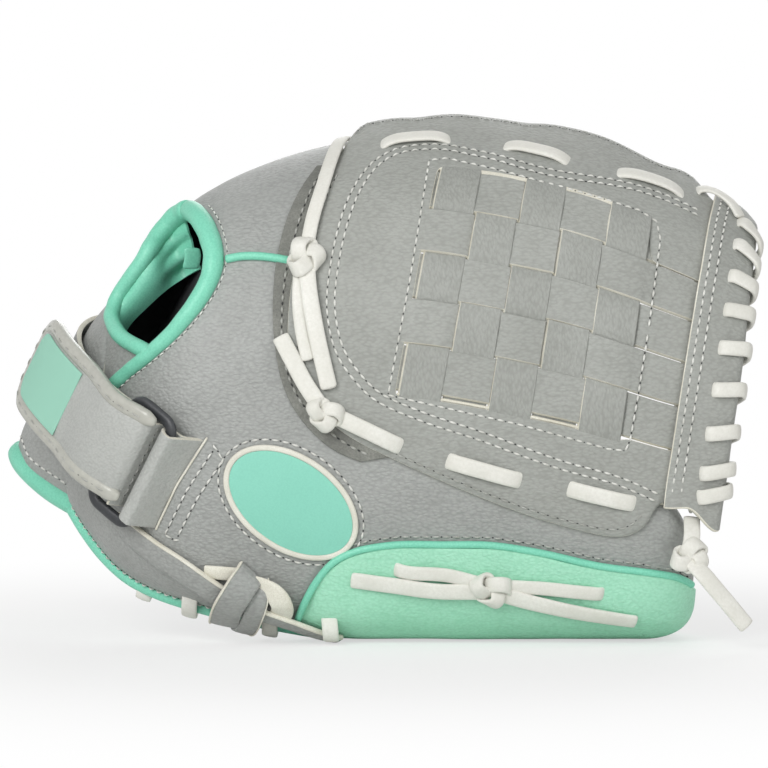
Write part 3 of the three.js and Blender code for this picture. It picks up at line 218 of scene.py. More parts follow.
def front(x, z, t=0.0):
    return Vector((x, s_at(x, z), t))


FINGER_PITCH, FINGER_WIDTH, FINGER_DEPTH, INDEX_CENTRE = 29.3, 28.6, 24, 105.5
FINGER_TIPS, FINGER_NOSE = (119, 127, 124, 113), 26
KNUCKLE_X, HEEL_X, PALM_HEEL_X = -16, -123, -134
PALM_DEPTH = FINGER_DEPTH + 2 * GAP
PALM_FAR = S_THUMB - SIDE_RADIUS
palm_edge = curve_through([-134, -45, 2, 120], [-110, -110, PALM_FAR, PALM_FAR])
palm_depth = curve_through([-134, -45, 2, 120], [5, 5, PALM_DEPTH, PALM_DEPTH])
S_PALM_PINKIE = S_PINKIE + SIDE_RADIUS - 1
POCKET_RISE = 17


# Pocket side: a chord across the heel that opens into a hollow under the fingers
def palm_point(x, s):
    start = palm_edge(x)
    share = (s - start) / (S_PALM_PINKIE - start)
    thumb_end = open_skin(x, start, -palm_depth(x))
    pinkie_end = open_skin(x, S_PALM_PINKIE, -PALM_DEPTH)
    chord = thumb_end.lerp(pinkie_end, share)
    rise = POCKET_RISE * smooth(x, -62, KNUCKLE_X - 4) * smooth(s, 6, 34) * (1 - smooth(s, 56, 86))
    depth = lerp(palm_depth(x), PALM_DEPTH, smooth(share, 0, 0.3))
    pocket = open_skin(x, s, rise - depth)
    return chord.lerp(pocket, smooth(x, PALM_HEEL_X, -58))


def palm(x, s, t=0.0):
    along = palm_point(x + STEP, s) - palm_point(x - STEP, s)
    across = palm_point(x, s + STEP) - palm_point(x, s - STEP)
    return palm_point(x, s) + across.cross(along).normalized() * t


THUMB_EDGE = curve_through([-16, -3, 36, 66, 93, 104, 111, 124], [96, 91, 78, 69, 60, 57.5, 55, 48])
THUMB_NOSE, THUMB_CENTRE, EDGE_RADIUS = 24, -92, 8
THUMB_FAR = S_THUMB - ROLL_REACH


# Share of the full width that is left near a rounded tip
def nose_share(x, tip, length):
    d = (x - (tip - length)) / length
    return 1.0 if d <= 0 else math.sqrt(max(0.0, 1 - d * d))


# The thumb's padded tip is blunter than the fingers'
THUMB_END, THUMB_BLUNT, THUMB_MID, BLUNT_POWER = 122.0, 21, -82, 2.7
THUMB_LAST = THUMB_END - 0.002
THUMB_DEEP = -FINGER_DEPTH * 0.7


def thumb_share(x):
    d = (x - (THUMB_END - THUMB_BLUNT)) / THUMB_BLUNT
    return 1.0 if d <= 0 else max(0.0, 1 - d ** BLUNT_POWER) ** (1 / BLUNT_POWER)


# Corners of the woven window
WEAVE = [front(x, z) for x, z in ((5, 97), (89, 80), (21, 179), (101, 160))]


def weave_at(a, b):
    low = WEAVE[0].lerp(WEAVE[1], a)
    high = WEAVE[2].lerp(WEAVE[3], a)
    return low.lerp(high, b)


# Ring and wrist strap frame: L along the ring, M along the strap, K away from the glove
RING_AT = at_height(-91.5, 70.5)
ring_k = skin_normal(*RING_AT)
ring_l = Vector((0.66, 0, 0.85))
ring_l = (ring_l - ring_k * ring_k.dot(ring_l)).normalized()
ring_m = ring_k.cross(ring_l).normalized()
ring_centre = skin_point(*RING_AT, ROLLED) + ring_k * 6
BAR_OFFSET, RING_BAR = 10, 2.0
FOLD_IN = RING_BAR + 2 * GAP
FOLD_OUT = FOLD_IN + 2
WRIST_RADIUS, STRAP_SKEW, STRAP_WIDTH, FLAP_WIDTH, FLAP_RISE = 72, -0.1, 37, 41, 3.8
FLAP_LENGTH, BASE_LENGTH, FLAP_BINDING, FLAP_THICK = 66, 108, 6.5, 4
FLAP_IN = FOLD_OUT + GAP
FLAP_OUT = FLAP_IN + FLAP_THICK
FLAP_SETTLE, FLAP_OFF = FLAP_IN + FOLD_IN - 2 - 3 * GAP, 4.5


def ring_point(l, m, k):
    return ring_centre + ring_l * l + ring_m * m + ring_k * k


def band(a, q, k):
    turn = a / WRIST_RADIUS
    r = WRIST_RADIUS + k
    return ring_point(STRAP_SKEW * a - q, BAR_OFFSET + r * math.sin(turn), r * math.cos(turn) - WRIST_RADIUS)


# The flap is a little wider than the strap and sits higher; its start narrows towards the ring
def flap_band(a, q, k):
    widen = 0.9 + 0.1 * (smooth(a, 2, 14) if a > 0 else smooth(-a, 0, 7))
    across = q * lerp(STRAP_WIDTH / FLAP_WIDTH, 1, widen) - FLAP_RISE * widen
    return band(a, across, k - FLAP_SETTLE * smooth(a, 3, 24) + FLAP_OFF * smooth(a, 24, FLAP_LENGTH))


# Leather that runs under the wrist strap is drawn in by it, less and less beyond these distances
HOLD_SIDE, HOLD_START, HOLD_END = (21, 40), (-14, -3), (112, 140)


def under_strap(p):
    d = p - ring_centre
    l, m, k = d.dot(ring_l), d.dot(ring_m) - BAR_OFFSET, d.dot(ring_k) + WRIST_RADIUS
    r = math.hypot(m, k)
    a = WRIST_RADIUS * math.atan2(m, k)
    q = STRAP_SKEW * a - l
    limit = WRIST_RADIUS - FOLD_OUT - 1.3
    if r <= limit:
        return p
    hold = (1 - smooth(abs(q), *HOLD_SIDE)) * smooth(a, *HOLD_START) * (1 - smooth(a, *HOLD_END))
    pull = (limit - r) * hold / r
    return p + ring_m * (m * pull) + ring_k * (k * pull)


# Curve through points that doesn't overshoot where they lie close together (centripetal Catmull-Rom)
def spline(points, steps):
    pts = [Vector(p) for p in points]
    pts = [pts[0] * 2 - pts[1], *pts, pts[-1] * 2 - pts[-2]]
    spans = len(pts) - 3
    out = []
    for n in range(steps + 1):
        where = n * spans / steps
        i = min(int(where), spans - 1)
        u = where - i
        p0, p1, p2, p3 = pts[i:i + 4]
        k = [max((b - a).length, NEAR_ZERO) ** 0.5 for a, b in ((p0, p1), (p1, p2), (p2, p3))]
        m1 = (p1 - p0) / k[0] - (p2 - p0) / (k[0] + k[1]) + (p2 - p1) / k[1]
        m2 = (p2 - p1) / k[1] - (p3 - p1) / (k[1] + k[2]) + (p3 - p2) / k[2]
        m1 *= k[1]
        m2 *= k[1]
        v = u * u
        w = v * u
        out.append(p1 * (2 * w - 3 * v + 1) + m1 * (w - 2 * v + u) + p2 * (3 * v - 2 * w) + m2 * (w - v))
    return out


# How far along a line each of its points lies, and where a given distance falls
def lengths(points):
    marks = [0.0]
    for a, b in zip(points, points[1:]):
        marks.append(marks[-1] + (b - a).length)
    return marks


def spot(marks, distance):
    i = 0
    while i < len(marks) - 2 and marks[i + 1] < distance:
        i += 1
    return i, (distance - marks[i]) / max(marks[i + 1] - marks[i], NEAR_ZERO)


def along(points, share):
    marks = lengths(points)
    i, u = spot(marks, share * marks[-1])
    return points[i].lerp(points[i + 1], u)


# Materials. Colours are sRGB hex values.
def linear(colour):
    values = [int(colour[i:i + 2], 16) / 255 for i in (1, 3, 5)]
    return [v / 12.92 if v <= 0.04045 else ((v + 0.055) / 1.055) ** 2.4 for v in values] + [1.0]


# One node: its inputs are numbers or other nodes' outputs, and one of its own outputs comes back
def node(tree, kind, inputs=None, out=0, **settings):
    made = tree.nodes.new("ShaderNode" + kind)
    for key, value in settings.items():
        setattr(made, key, value)
    for key, value in (inputs or {}).items():
        if isinstance(value, bpy.types.NodeSocket):
            tree.links.new(value, made.inputs[key])
        else:
            made.inputs[key].default_value = value
    return made.outputs[out] if len(made.outputs) else None


# One value carried from a range (low, high) to another
def ranged(add, value, source, target, **settings):
    ends = {"From Min": source[0], "From Max": source[1], "To Min": target[0], "To Max": target[1]}
    return add("MapRange", {"Value": value, **ends}, **settings)


def mixed_paint(add, share, first, second):
    return add("Mix", {0: share, 6: linear(first), 7: linear(second)}, 2, data_type="RGBA")


def new_material(name):
    material = bpy.data.materials.new(name)
    material.use_nodes = True
    material.node_tree.nodes.clear()
    return material, partial(node, material.node_tree)


def principled(add, inputs):
    return add("BsdfPrincipled", {"IOR": 1.5, **inputs})


def finished(material, add, inputs):
    add("OutputMaterial", {"Surface": principled(add, inputs)})
    return material


# Embossed leather: grain cells of a real width, darker creases between them, tone and gloss worn unevenly
def leather(name, colour, crease, cell, stretch, depth, roughness, sheen=0.0):
    material, add = new_material(name)
    here = add("TexCoord", out="Object")
    warp = add("TexNoise", {"Vector": here, "Scale": 160.0, "Detail": 2.0}, "Color")
    offset = add("VectorMath", {0: warp, "Scale": 0.0016}, operation="SCALE")
    moved = add("VectorMath", {0: here, 1: offset}, operation="ADD")
    grain = add("Mapping", {"Vector": moved, "Scale": stretch})
    scale = 1 / (cell * MM)
    cell_shape = {"Vector": grain, "Scale": scale, "Smoothness": 0.35, "Randomness": 1.0}
    cells = add("TexVoronoi", cell_shape, "Distance", feature="SMOOTH_F1")
    fine = add("TexNoise", {"Vector": grain, "Scale": scale * 2.6, "Detail": 3.0}, "Fac")
    height = add("Math", {0: fine, 1: -0.45, 2: cells}, operation="MULTIPLY_ADD")
    tone = add("TexNoise", {"Vector": here, "Scale": 38.0, "Detail": 3.0, "Roughness": 0.6}, "Fac")
    groove = ranged(add, cells, (0.3, 0.75), (0.0, 0.45))
    worn = ranged(add, tone, (0.3, 0.7), (0.0, 0.30))
    darker = add("Math", {0: groove, 1: worn}, operation="ADD", use_clamp=True)
    gloss = ranged(add, tone, (0.3, 0.7), (roughness - 0.06, roughness + 0.07))
    bump = add("Bump", {"Height": height, "Strength": 0.65, "Distance": depth * MM}, invert=True)
    paint = mixed_paint(add, darker, colour, crease)
    looks = {"Base Color": paint, "Roughness": gloss, "Normal": bump}
    return finished(material, add, {**looks, "Sheen Weight": sheen, "Sheen Roughness": 0.5})


# Fibres: cut leather edges, rawhide, thread, felt and knit differ by colour, fibre size and depth
def fibre(name, colour, shade, size, depth, roughness, stretch=(1, 1, 1)):
    material, add = new_material(name)
    here = add("TexCoord", out="Object")
    grain = add("Mapping", {"Vector": here, "Scale": stretch})
    hair_shape = {"Vector": grain, "Scale": 1 / (size * MM), "Detail": 4.0, "Roughness": 0.65}
    hairs = add("TexNoise", hair_shape, "Fac")
    broad = add("TexNoise", {"Vector": here, "Scale": 90.0, "Detail": 2.0}, "Fac")
    fleck = add("Math", {0: hairs, 1: broad}, operation="MULTIPLY")
    paint = mixed_paint(add, ranged(add, fleck, (0.12, 0.42), (1.0, 0.0)), colour, shade)
    bump = add("Bump", {"Height": hairs, "Strength": 0.5, "Distance": depth * MM})
    return finished(material, add, {"Base Color": paint, "Normal": bump, "Roughness": roughness})


# Woven cloth: two crossed thread waves of a real spacing
def woven(name, colour, shade, thread, depth, roughness):
    material, add = new_material(name)
    grain = add("Mapping", {"Vector": add("TexCoord", out="Object"), "Rotation": (0.2, 0.35, 0.75)})
    pitch = 1 / (thread * MM) / 2
    wave = {"Vector": grain, "Scale": pitch, "Distortion": 0.6, "Detail": 1.0, "Detail Scale": 2.0}
    across, along_it = (add("TexWave", wave, "Fac", bands_direction=d) for d in ("X", "Z"))
    cross = add("Math", {0: across, 1: along_it}, operation="MULTIPLY")
    bump = add("Bump", {"Height": cross, "Strength": 0.6, "Distance": depth * MM})
    paint = mixed_paint(add, cross, shade, colour)
    return finished(material, add, {"Base Color": paint, "Normal": bump, "Roughness": roughness})


EVEN = (1.0, 1.0, 1.0)
# Grey cowhide with a pressed pebble grain: a soft gloss on the shell, paler on the strap, duller on the web
GREY = leather("grey_embossed_leather", "#A6A8A5", "#8A8C89", 1.0, (0.55, 1.0, 1.0), 0.42, 0.46)
STRAP_GREY = leather("grey_strap_leather", "#BABCB8", "#A5A7A3", 0.9, (0.7, 1.0, 1.0), 0.28, 0.46)
WEB_GREY = leather("web_split_leather", "#A5A7A2", "#8B8D87", 0.9, (0.45, 1.0, 0.9), 0.36, 0.56, 0.05)
WARP_GREY = leather("web_strip_leather", "#A2A49F", "#888A84", 0.9, (1.0, 1.0, 0.45), 0.36, 0.56, 0.05)
# Mint leather: smooth and a little glossy on the rolls, pebbled and paler on the thumb
MINT = leather("mint_piping_leather", "#87DABE", "#6FC8AA", 0.8, EVEN, 0.06, 0.42)
MINT_PANEL = leather("mint_embossed_leather", "#ACE6CA", "#90D2B2", 1.0, (0.7, 1.0, 1.0), 0.36, 0.50)
# Pale, dull fibres where leather is cut, and the smoother rawhide of the laces
RAW = fibre("cut_leather_edge", "#EDEBDF", "#CFCBBB", 0.5, 0.15, 0.85)
LACE = fibre("rawhide_lace", "#E8E7E0", "#DAD9D0", 0.6, 0.08, 0.55, (0.5, 1.0, 0.5))
# Bonded thread with a slight shine, and painted shade for its needle holes: a dark colour standing in for
# their shadow
THREAD = fibre("white_bonded_thread", "#EDEDE8", "#C9C9C2", 0.3, 0.05, 0.5)
GREY_THREAD = fibre("grey_bonded_thread", "#C3C4C0", "#96978F", 0.3, 0.05, 0.5)
NEEDLE_HOLE_SHADE = fibre("needle_hole_shadow", "#484948", "#343534", 0.3, 0.05, 0.9)
# Matt napped surfaces: suede, knit, felt and the fastening tapes
SUEDE = fibre("grey_split_suede", "#95968F", "#6F706B", 0.8, 0.45, 0.95)
LINING = fibre("black_knit_lining", "#333437", "#1E1F21", 0.7, 0.25, 0.9)
FELT = fibre("wool_felt", "#D8D4C8", "#B9B4A5", 0.6, 0.30, 0.95)
TAPE = fibre("hook_and_loop_tape", "#222326", "#0E0F10", 0.8, 0.6, 0.95)
# Trim: a flat rubber patch in a satin border, shiny vinyl, cloth with a fine weave, smooth black plastic
PATCH = leather("moulded_rubber_patch", "#8CD4BF", "#84CCB7", 0.7, EVEN, 0.03, 0.5)
RIM = fibre("satin_stitch_border", "#EEECE2", "#D5D2C4", 0.4, 0.12, 0.6)
BINDING = leather("grey_vinyl_binding", "#BBBBB2", "#ADADA4", 2.5, EVEN, 0.03, 0.22)
LABEL = woven("woven_label_cloth", "#B4E4D1", "#98D1BB", 0.55, 0.12, 0.75)
PLASTIC = leather("black_moulded_plastic", "#3A3C3F", "#2E3033", 0.8, EVEN, 0.04, 0.38)


# Modelling
def only(obj):
    bpy.ops.object.select_all(action="DESELECT")
    obj.select_set(True)
    bpy.context.view_layer.objects.active = obj


def modify(obj, kind, **settings):
    made = obj.modifiers.new(kind.lower(), kind)
    for key, value in settings.items():
        setattr(made, key, value)
    only(obj)
    bpy.ops.object.modifier_apply(modifier=made.name)


def edit_all(obj, operator, **settings):
    only(obj)
    bpy.ops.object.mode_set(mode="EDIT")
    bpy.ops.mesh.select_all(action="SELECT")
    operator(**settings)
    bpy.ops.object.mode_set(mode="OBJECT")


# Edges sharper than an angle stay sharp
PANEL_ANGLE, STRAND_ANGLE, STITCH_ANGLE, STRIP_ANGLE = 42, 60, 80, 35


def finish_shading(obj, degrees):
    only(obj)
    bpy.ops.object.shade_smooth_by_angle(angle=math.radians(degrees))


def mesh_object(name, verts, faces, materials, kinds=()):
    mesh = bpy.data.meshes.new(name)
    mesh.from_pydata(verts, [], faces)
    obj = bpy.data.objects.new(name, mesh)
    bpy.context.scene.collection.objects.link(obj)
    for material in materials:
        mesh.materials.append(material)
    for face, kind in zip(mesh.polygons, kinds):
        face.material_index = kind
    return obj


WELD_DISTANCE, CUT_ANGLE, CUT_WIDTH = 0.02, 55, 0.35


# A panel of leather: a flat grid is formed over the glove, then gets its thickness and its cut edges
def panel(name, point, columns, rows, thick, face=GREY, edge=RAW, cut=CUT_WIDTH):
    bpy.ops.object.select_all(action="DESELECT")
    bpy.ops.mesh.primitive_grid_add(x_subdivisions=columns, y_subdivisions=rows, size=1)
    obj = bpy.context.active_object
    obj.name = obj.data.name = name
    for v in obj.data.vertices:
        v.co = place(point(v.co.x + 0.5, v.co.y + 0.5))
    edit_all(obj, bpy.ops.mesh.remove_doubles, threshold=WELD_DISTANCE * MM)
    obj.data.materials.append(face)
    obj.data.materials.append(edge)
    modify(obj, "SUBSURF", levels=1, render_levels=1, boundary_smooth="PRESERVE_CORNERS")
    modify(obj, "SOLIDIFY", thickness=thick * MM, offset=-1, material_offset_rim=1, use_even_offset=False)
    if cut:
        modify(obj, "BEVEL", width=cut * MM, segments=2, limit_method="ANGLE",
               angle_limit=math.radians(CUT_ANGLE), material=1)
    finish_shading(obj, PANEL_ANGLE)
    return obj


# The same surface with its columns or its rows reversed, which turns its outside round
def turn_u(point):
    return lambda u, v: point(1 - u, v)


def turn_v(point):
    return lambda u, v: point(u, 1 - v)


# A strand: a flat section carried along stations (point, across, up)
def strand(name, stations, section, material, loop=False):
    count = len(section)
    verts = [place(p + across * a + up * b) for p, across, up in stations for a, b in section]
    faces = []
    turns = len(stations) if loop else len(stations) - 1
    for i in range(turns):
        for j in range(count):
            a = i * count + j
            b = i * count + (j + 1) % count
            n = ((i + 1) % len(stations)) * count
            faces.append((a, b, n + (j + 1) % count, n + j))
    if not loop:
        last = (len(stations) - 1) * count
        faces.append(tuple(reversed(range(count))))
        faces.append(tuple(range(last, last + count)))
    obj = mesh_object(name, verts, faces, [material])
    modify(obj, "SUBSURF", levels=1, render_levels=1)
    finish_shading(obj, STRAND_ANGLE)
    return obj


CORNER_SHARE = 0.32


def lace_section(width, thick):
    w, h, r = width / 2, thick / 2, min(width, thick) * CORNER_SHARE
    right = [(w - r, -h), (w, -h + r), (w, h - r), (w - r, h)]
    return [(-w + r, -h), *right, (-w + r, h), (-w, h - r), (-w, -h + r)]


def round_section(radius, count=10):
    turns = [2 * math.pi * i / count for i in range(count)]
    return [(radius * math.cos(a), radius * math.sin(a)) for a in turns]


def tangent_at(path, i, loop=False):
    n = len(path)
    if loop:
        return (path[(i + 1) % n] - path[i - 1]).normalized()
    return (path[min(i + 1, n - 1)] - path[max(i - 1, 0)]).normalized()


# Stations of a ribbon whose flat side looks along its face directions
def ribbon_stations(path, looks, loop=False):
    out = []
    for i, p in enumerate(path):
        tangent = tangent_at(path, i, loop)
        across = looks[i].cross(tangent).normalized()
        out.append((p, across, tangent.cross(across).normalized()))
    return out


def tube(name, path, radius, look=Vector((0, -1, 0.2))):
    return strand(name, ribbon_stations(path, [look] * len(path)), round_section(radius), MINT)


# A soft roll: a tube whose radius changes along its path
def roll(name, path, looks, radii):
    stations = [(p, across * r, up * r) for (p, across, up), r in zip(ribbon_stations(path, looks), radii)]
    return strand(name, stations, round_section(1.0, 12), MINT)


LACE_WIDTH, LACE_THICK, LACE_UNDER = 6.4, 2.1, -4.2
WEB_OUT = GAP + 2
ON_WEB = WEB_OUT + 1.2


# Ribbon on the skin through pattern points (x, s, lift)
def skin_ribbon(points, steps, width, thick, surface=skin):
    flat = spline(points, steps)
    path = [surface(p.x, p.y, p.z) for p in flat]
    out = []
    for i, p in enumerate(path):
        a = flat[max(i - 2, 0)]
        b = flat[min(i + 2, steps)]
        heading = (surface(b.x, b.y) - surface(a.x, a.y)).normalized()
        normal = surface(flat[i].x, flat[i].y, 1) - surface(flat[i].x, flat[i].y)
        across = normal.cross(heading).normalized()
        out.append((p, across, tangent_at(path, i).cross(across).normalized()))
    return out, lace_section(width, thick)


def joined(name, objs):
    bpy.ops.object.select_all(action="DESELECT")
    for o in objs:
        o.select_set(True)
    bpy.context.view_layer.objects.active = objs[0]
    if len(objs) > 1:
        bpy.ops.object.join()
    objs[0].name = objs[0].data.name = name
    return objs[0]


def laid(points, steps, width=LACE_WIDTH, thick=LACE_THICK, surface=skin):
    return strand("strand", *skin_ribbon(points, steps, width, thick, surface), LACE)


# Lace on the front through points (x, height, lift over a base)
def tie(base, points, steps, width):
    return laid([front(x, z, base + lift) for x, z, lift in points], steps, width)


# Lace wound round something: its flat side looks away from the middle of each turn
def wound(name, path, centres, width, thick):
    looks = [(p - c).normalized() for p, c in zip(path, centres)]
    return strand(name, ribbon_stations(path, looks), lace_section(width, thick), LACE)


# Overhand knot: one strand of lace carried round a flattened trefoil
KNOT_STEPS, KNOT_THICK = 42, 2.2
KNOT_SPREAD, KNOT_SIDE, KNOT_RISE, KNOT_LOOK = 2.6, 0.78, 0.36, 0.6


def knot(centre, heading, up, size, width=5.4, turn=0.0):
    side = up.cross(heading).normalized()
    heading = side.cross(up).normalized()
    path = []
    looks = []
    for i in range(KNOT_STEPS):
        t = 2 * math.pi * i / KNOT_STEPS + turn
        x = (math.sin(t) + 2 * math.sin(2 * t)) / KNOT_SPREAD
        y = (math.cos(t) - 2 * math.cos(2 * t)) / KNOT_SPREAD
        z = -math.sin(3 * t)
        p = heading * (x * size) + side * (y * size * KNOT_SIDE) + up * (z * size * KNOT_RISE)
        path.append(centre + p)
        looks.append((p + up * (size * (KNOT_LOOK + z))).normalized())
    return strand("knot", ribbon_stations(path, looks, True), lace_section(width, KNOT_THICK), LACE, True)


# Running lace: over each stitch, under the leather between them
DIVE_REACH, DIVE_RISE = 2.4, 0.45


def running(holes, over, surface=skin):
    points = []
    low = over * DIVE_RISE
    for a, b in holes:
        a = Vector((*a, 0))
        b = Vector((*b, 0))
        step = (b - a).normalized() * DIVE_REACH
        lifts = [(a, -1.2, LACE_UNDER), (a, -0.2, low), (a, 1.6, over + 0.3), (a.lerp(b, 0.5), 0, over + 0.9),
                 (b, -1.6, over + 0.3), (b, 0.2, low), (b, 1.2, LACE_UNDER)]
        points += [(*(p + step * k).xy, t) for p, k, t in lifts]
    return laid(points, len(points) * 4, surface=surface)


# Rows of stitching: short threads sunk a little into the leather, with dark grains of painted shade between
# them where the needle holes' shadow falls
GRAIN_RINGS, GRAIN_SIDES, GRAIN_TAPER, GRAIN_LEAST, GRAIN_FLAT = 4, 5, 0.92, 0.02, 0.8
THREAD_LIFT, THREAD_BOW = 0.28, 0.5
HOLE_LENGTH, HOLE_WIDTH, HOLE_LIFT, HOLE_BOW = 0.33, 0.75, -0.1, 0.05
THREAD_KIND, HOLE_KIND = 0, 1


def stitches(name, lines, material=THREAD, length=2.6, space=1.2, radius=0.43):
    verts, faces, kinds = [], [], []
    rings, sides = GRAIN_RINGS, GRAIN_SIDES

    def grain(p, heading, up, half, thick, low, bow, kind):
        side = up.cross(heading).normalized()
        base = len(verts)
        for i in range(rings + 1):
            u = -1 + 2 * i / rings
            wide = thick * math.sqrt(max(1 - u * u * GRAIN_TAPER, GRAIN_LEAST))
            middle = p + heading * (half * u) + up * (low - bow * u * u)
            for a, b in round_section(wide, sides):
                verts.append(place(middle + side * a + up * (GRAIN_FLAT * b)))
        for i in range(rings):
            for j in range(sides):
                a, b = base + i * sides + j, base + i * sides + (j + 1) % sides
                faces.append((a, b, b + sides, a + sides))
        faces.append(tuple(reversed(range(base, base + sides))))
        faces.append(tuple(range(base + rings * sides, base + (rings + 1) * sides)))
        kinds.extend([kind] * (rings * sides + 2))

    for line, looks in lines:
        marks = lengths(line)
        far = marks[-1]

        def at(distance):
            i, u = spot(marks, distance)
            return line[i].lerp(line[i + 1], u), looks[i].lerp(looks[i + 1], u).normalized()
        count = max(int((far + space) / (length + space)), 1)
        pitch = (far + space) / count
        half = (pitch - space) / 2
        for n in range(count):
            p, up = at(n * pitch + half)
            q, _ = at(min(n * pitch + 2 * half, far))
            heading = (q - p).normalized()
            grain(p, heading, up, half, radius, THREAD_LIFT, THREAD_BOW, THREAD_KIND)
            # Between two threads, a sunk grain in the painted shade of the needle hole
            if n < count - 1:
                p, up = at(n * pitch + 2 * half + space / 2)
                size = space * HOLE_LENGTH, radius * HOLE_WIDTH
                grain(p, heading, up, *size, HOLE_LIFT, HOLE_BOW, HOLE_KIND)
    obj = mesh_object(name, verts, faces, [material, NEEDLE_HOLE_SHADE], kinds)
    finish_shading(obj, STITCH_ANGLE)
    return obj


# A sewing line through pattern points (x, s), lifted by t; with no steps it is straight between them
def sewn(points, t, steps=60, surface=skin):
    flat = [Vector((*p[:2], 0)) for p in points]
    if steps:
        flat = spline(flat, steps)
    line = [surface(p.x, p.y, t) for p in flat]
    looks = [(surface(p.x, p.y, t + 1) - q).normalized() for p, q in zip(flat, line)]
    return line, looks


# Bodies: stretches where pieces cross the finger hinge; a piece given one is baked in place and not attached
# to a body
def row(x, y, z):
    return place(Vector((x, y, z)))


WEB_BEND = (row(0, 0, 118), row(0, 0, 176))
BACK_BEND = (row(-60, 0, 0), row(-18, 0, 0))
HINGE_X, HINGE_Z, BEND_RISE = -41, 106.7, 16.5
PALM_BEND = (row(HINGE_X, 0, HINGE_Z), row(HINGE_X + 1.2 * BEND_RISE, 0, HINGE_Z + BEND_RISE))


def belongs(obj, body, nodes=(), bend=None):
    if bend:
        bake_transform(obj)
    else:
        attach(obj, body)
    if nodes:
        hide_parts(*nodes)
    return obj


# Camera and studio
SENSOR, VIEW_WIDTH, VIEW_DISTANCE = 36, 0.288, 1.5
VIEW_RISE = math.radians(2.0)
VIEW_TARGET = place(Vector((0, 0, 99.75)))
LAMP_TARGET = Vector((0, 0, 0.09))
LAMPS = (
    ("key", (-0.6, -1.35, 0.75), 0.8, 14),
    ("fill", (1.0, -1.3, 0.35), 1.2, 6),
    ("back", (0.2, 1.3, 0.9), 1.0, 8),
)
ROOM_LIGHT = 0.36
WHITE = (1, 1, 1, 1)
FLOOR_RADIUS, FLOOR_DROP = 4, -0.0004


def aimed(obj, target):
    bpy.context.scene.collection.objects.link(obj)
    obj.rotation_euler = (target - obj.location).to_track_quat("-Z", "Y").to_euler()


def studio():
    scene = bpy.context.scene
    camera = bpy.data.objects.new("camera", bpy.data.cameras.new("camera"))
    away = Vector((0, -math.cos(VIEW_RISE), math.sin(VIEW_RISE)))
    camera.location = VIEW_TARGET + away * VIEW_DISTANCE
    aimed(camera, VIEW_TARGET)
    camera.data.sensor_width = SENSOR
    camera.data.lens = SENSOR * VIEW_DISTANCE / VIEW_WIDTH
    camera.data.clip_start = 0.05
    scene.camera = camera
    for name, location, size, power in LAMPS:
        light = bpy.data.lights.new(name, "AREA")
        light.size = size
        light.energy = power
        lamp = bpy.data.objects.new(name, light)
        lamp.location = location
        aimed(lamp, LAMP_TARGET)

    # The room is white where it is looked at, and lights the glove less than it shows
    scene.world = bpy.data.worlds.new("studio")
    scene.world.use_nodes = True
    scene.world.node_tree.nodes.clear()
    add = partial(node, scene.world.node_tree)
    rays = [add("LightPath", out=f"Is {kind} Ray") for kind in ("Camera", "Glossy", "Transmission")]
    seen = add("Math", {0: rays[0], 1: rays[1]}, operation="MAXIMUM")
    seen = add("Math", {0: seen, 1: rays[2]}, operation="MAXIMUM")
    sky = add("Background", {"Color": WHITE, "Strength": ranged(add, seen, (0, 1), (ROOM_LIGHT, 1.0))})
    add("OutputWorld", {"Surface": sky})

    # White paper that takes the glove's shadow and fades into the room
    bpy.ops.object.select_all(action="DESELECT")
    bpy.ops.mesh.primitive_circle_add(vertices=96, radius=FLOOR_RADIUS, fill_type="NGON",
                                      location=(0, 0, FLOOR_DROP))
    floor = bpy.context.active_object
    floor.name = "floor"
    material, add = new_material("white_paper_sweep")
    shader = principled(add, {"Base Color": linear("#F7F7F6"), "Roughness": 0.9})
    glow = add("Emission", {"Color": WHITE, "Strength": 1.0})
    distance = add("VectorMath", {0: add("TexCoord", out="Object")}, "Value", operation="LENGTH")
    fade = ranged(add, distance, (0.12, 0.42), (0.6, 1.0), interpolation_type="SMOOTHSTEP")
    share = add("Math", {0: add("LightPath", out="Is Camera Ray"), 1: fade}, operation="MULTIPLY")
    add("OutputMaterial", {"Surface": add("MixShader", {0: share, 1: shader, 2: glow})})
    floor.data.materials.append(material)
    scene.view_settings.view_transform = "Standard"


studio()


# Pattern points from points (x, height), as pairs (x, s) or as vectors, and vectors from pairs
def heights(*points):
    return [at_height(x, z) for x, z in points]


def fronts(points):
    return [front(x, z) for x, z in points]


def level(points):
    return [Vector((x, s, 0)) for x, s in points]


# Points on the skin over pattern points, and the directions they look in
def on_skin(points, t):
    return [skin(p.x, p.y, t) for p in points], [skin_normal(p.x, p.y) for p in points]


def ease_out(u):
    return math.sin(u * math.pi / 2)


def rounded(value, power):
    return math.copysign(abs(value) ** power, value)


# Wrist opening: the near roll edges the thumb side; the far roll edges the finger side and ends under it
WRIST_TOP, WRIST_STEPS, WRIST_ROLL = (-74.9, 108), 56, 4.3
NEAR_EDGE = [WRIST_TOP] + heights(
    (-69.5, 161), (-66.2, 155), (-64.3, 147), (-66, 138.5), (-70.6, 130.3), (-77.2, 121.8), (-84.7, 114.2),
    (-90.8, 108.8), (-97.6, 103.2), (-103.5, 98))
FAR_EDGE = [WRIST_TOP, (-79, 114), (-83.5, 116), (-87.5, 112), (-91, 105), (-96.5, 102), (-101.5, 100),
            (-104.4, 92)] + heights((-104.2, 122), (-100.5, 117.2), (-95, 114), (-88, 110.5))
near_line = spline(level(NEAR_EDGE), WRIST_STEPS)
far_line = spline(level(FAR_EDGE), WRIST_STEPS)
lower_edge = curve_of(heights((-126, 80), (-110, 92.5)) + [(x, s - 0.6) for x, s in NEAR_EDGE[:3:-1]]
                      + heights((-63.5, 144.4), (-16, 142.2), (20, 142)))
upper_edge = curve_of(heights((-126, 80.5), (-110, 93), (-105, 112))
                      + [(x, s + 0.8) for x, s in FAR_EDGE[7::-1]]
                      + heights((-69.5, 161.8), (-66.2, 156), (-63.5, 145.2), (-16, 143)))
BACK_EDGE = curve_through([-134, -45, KNUCKLE_X, 120], [-103, -103, -108, -108])
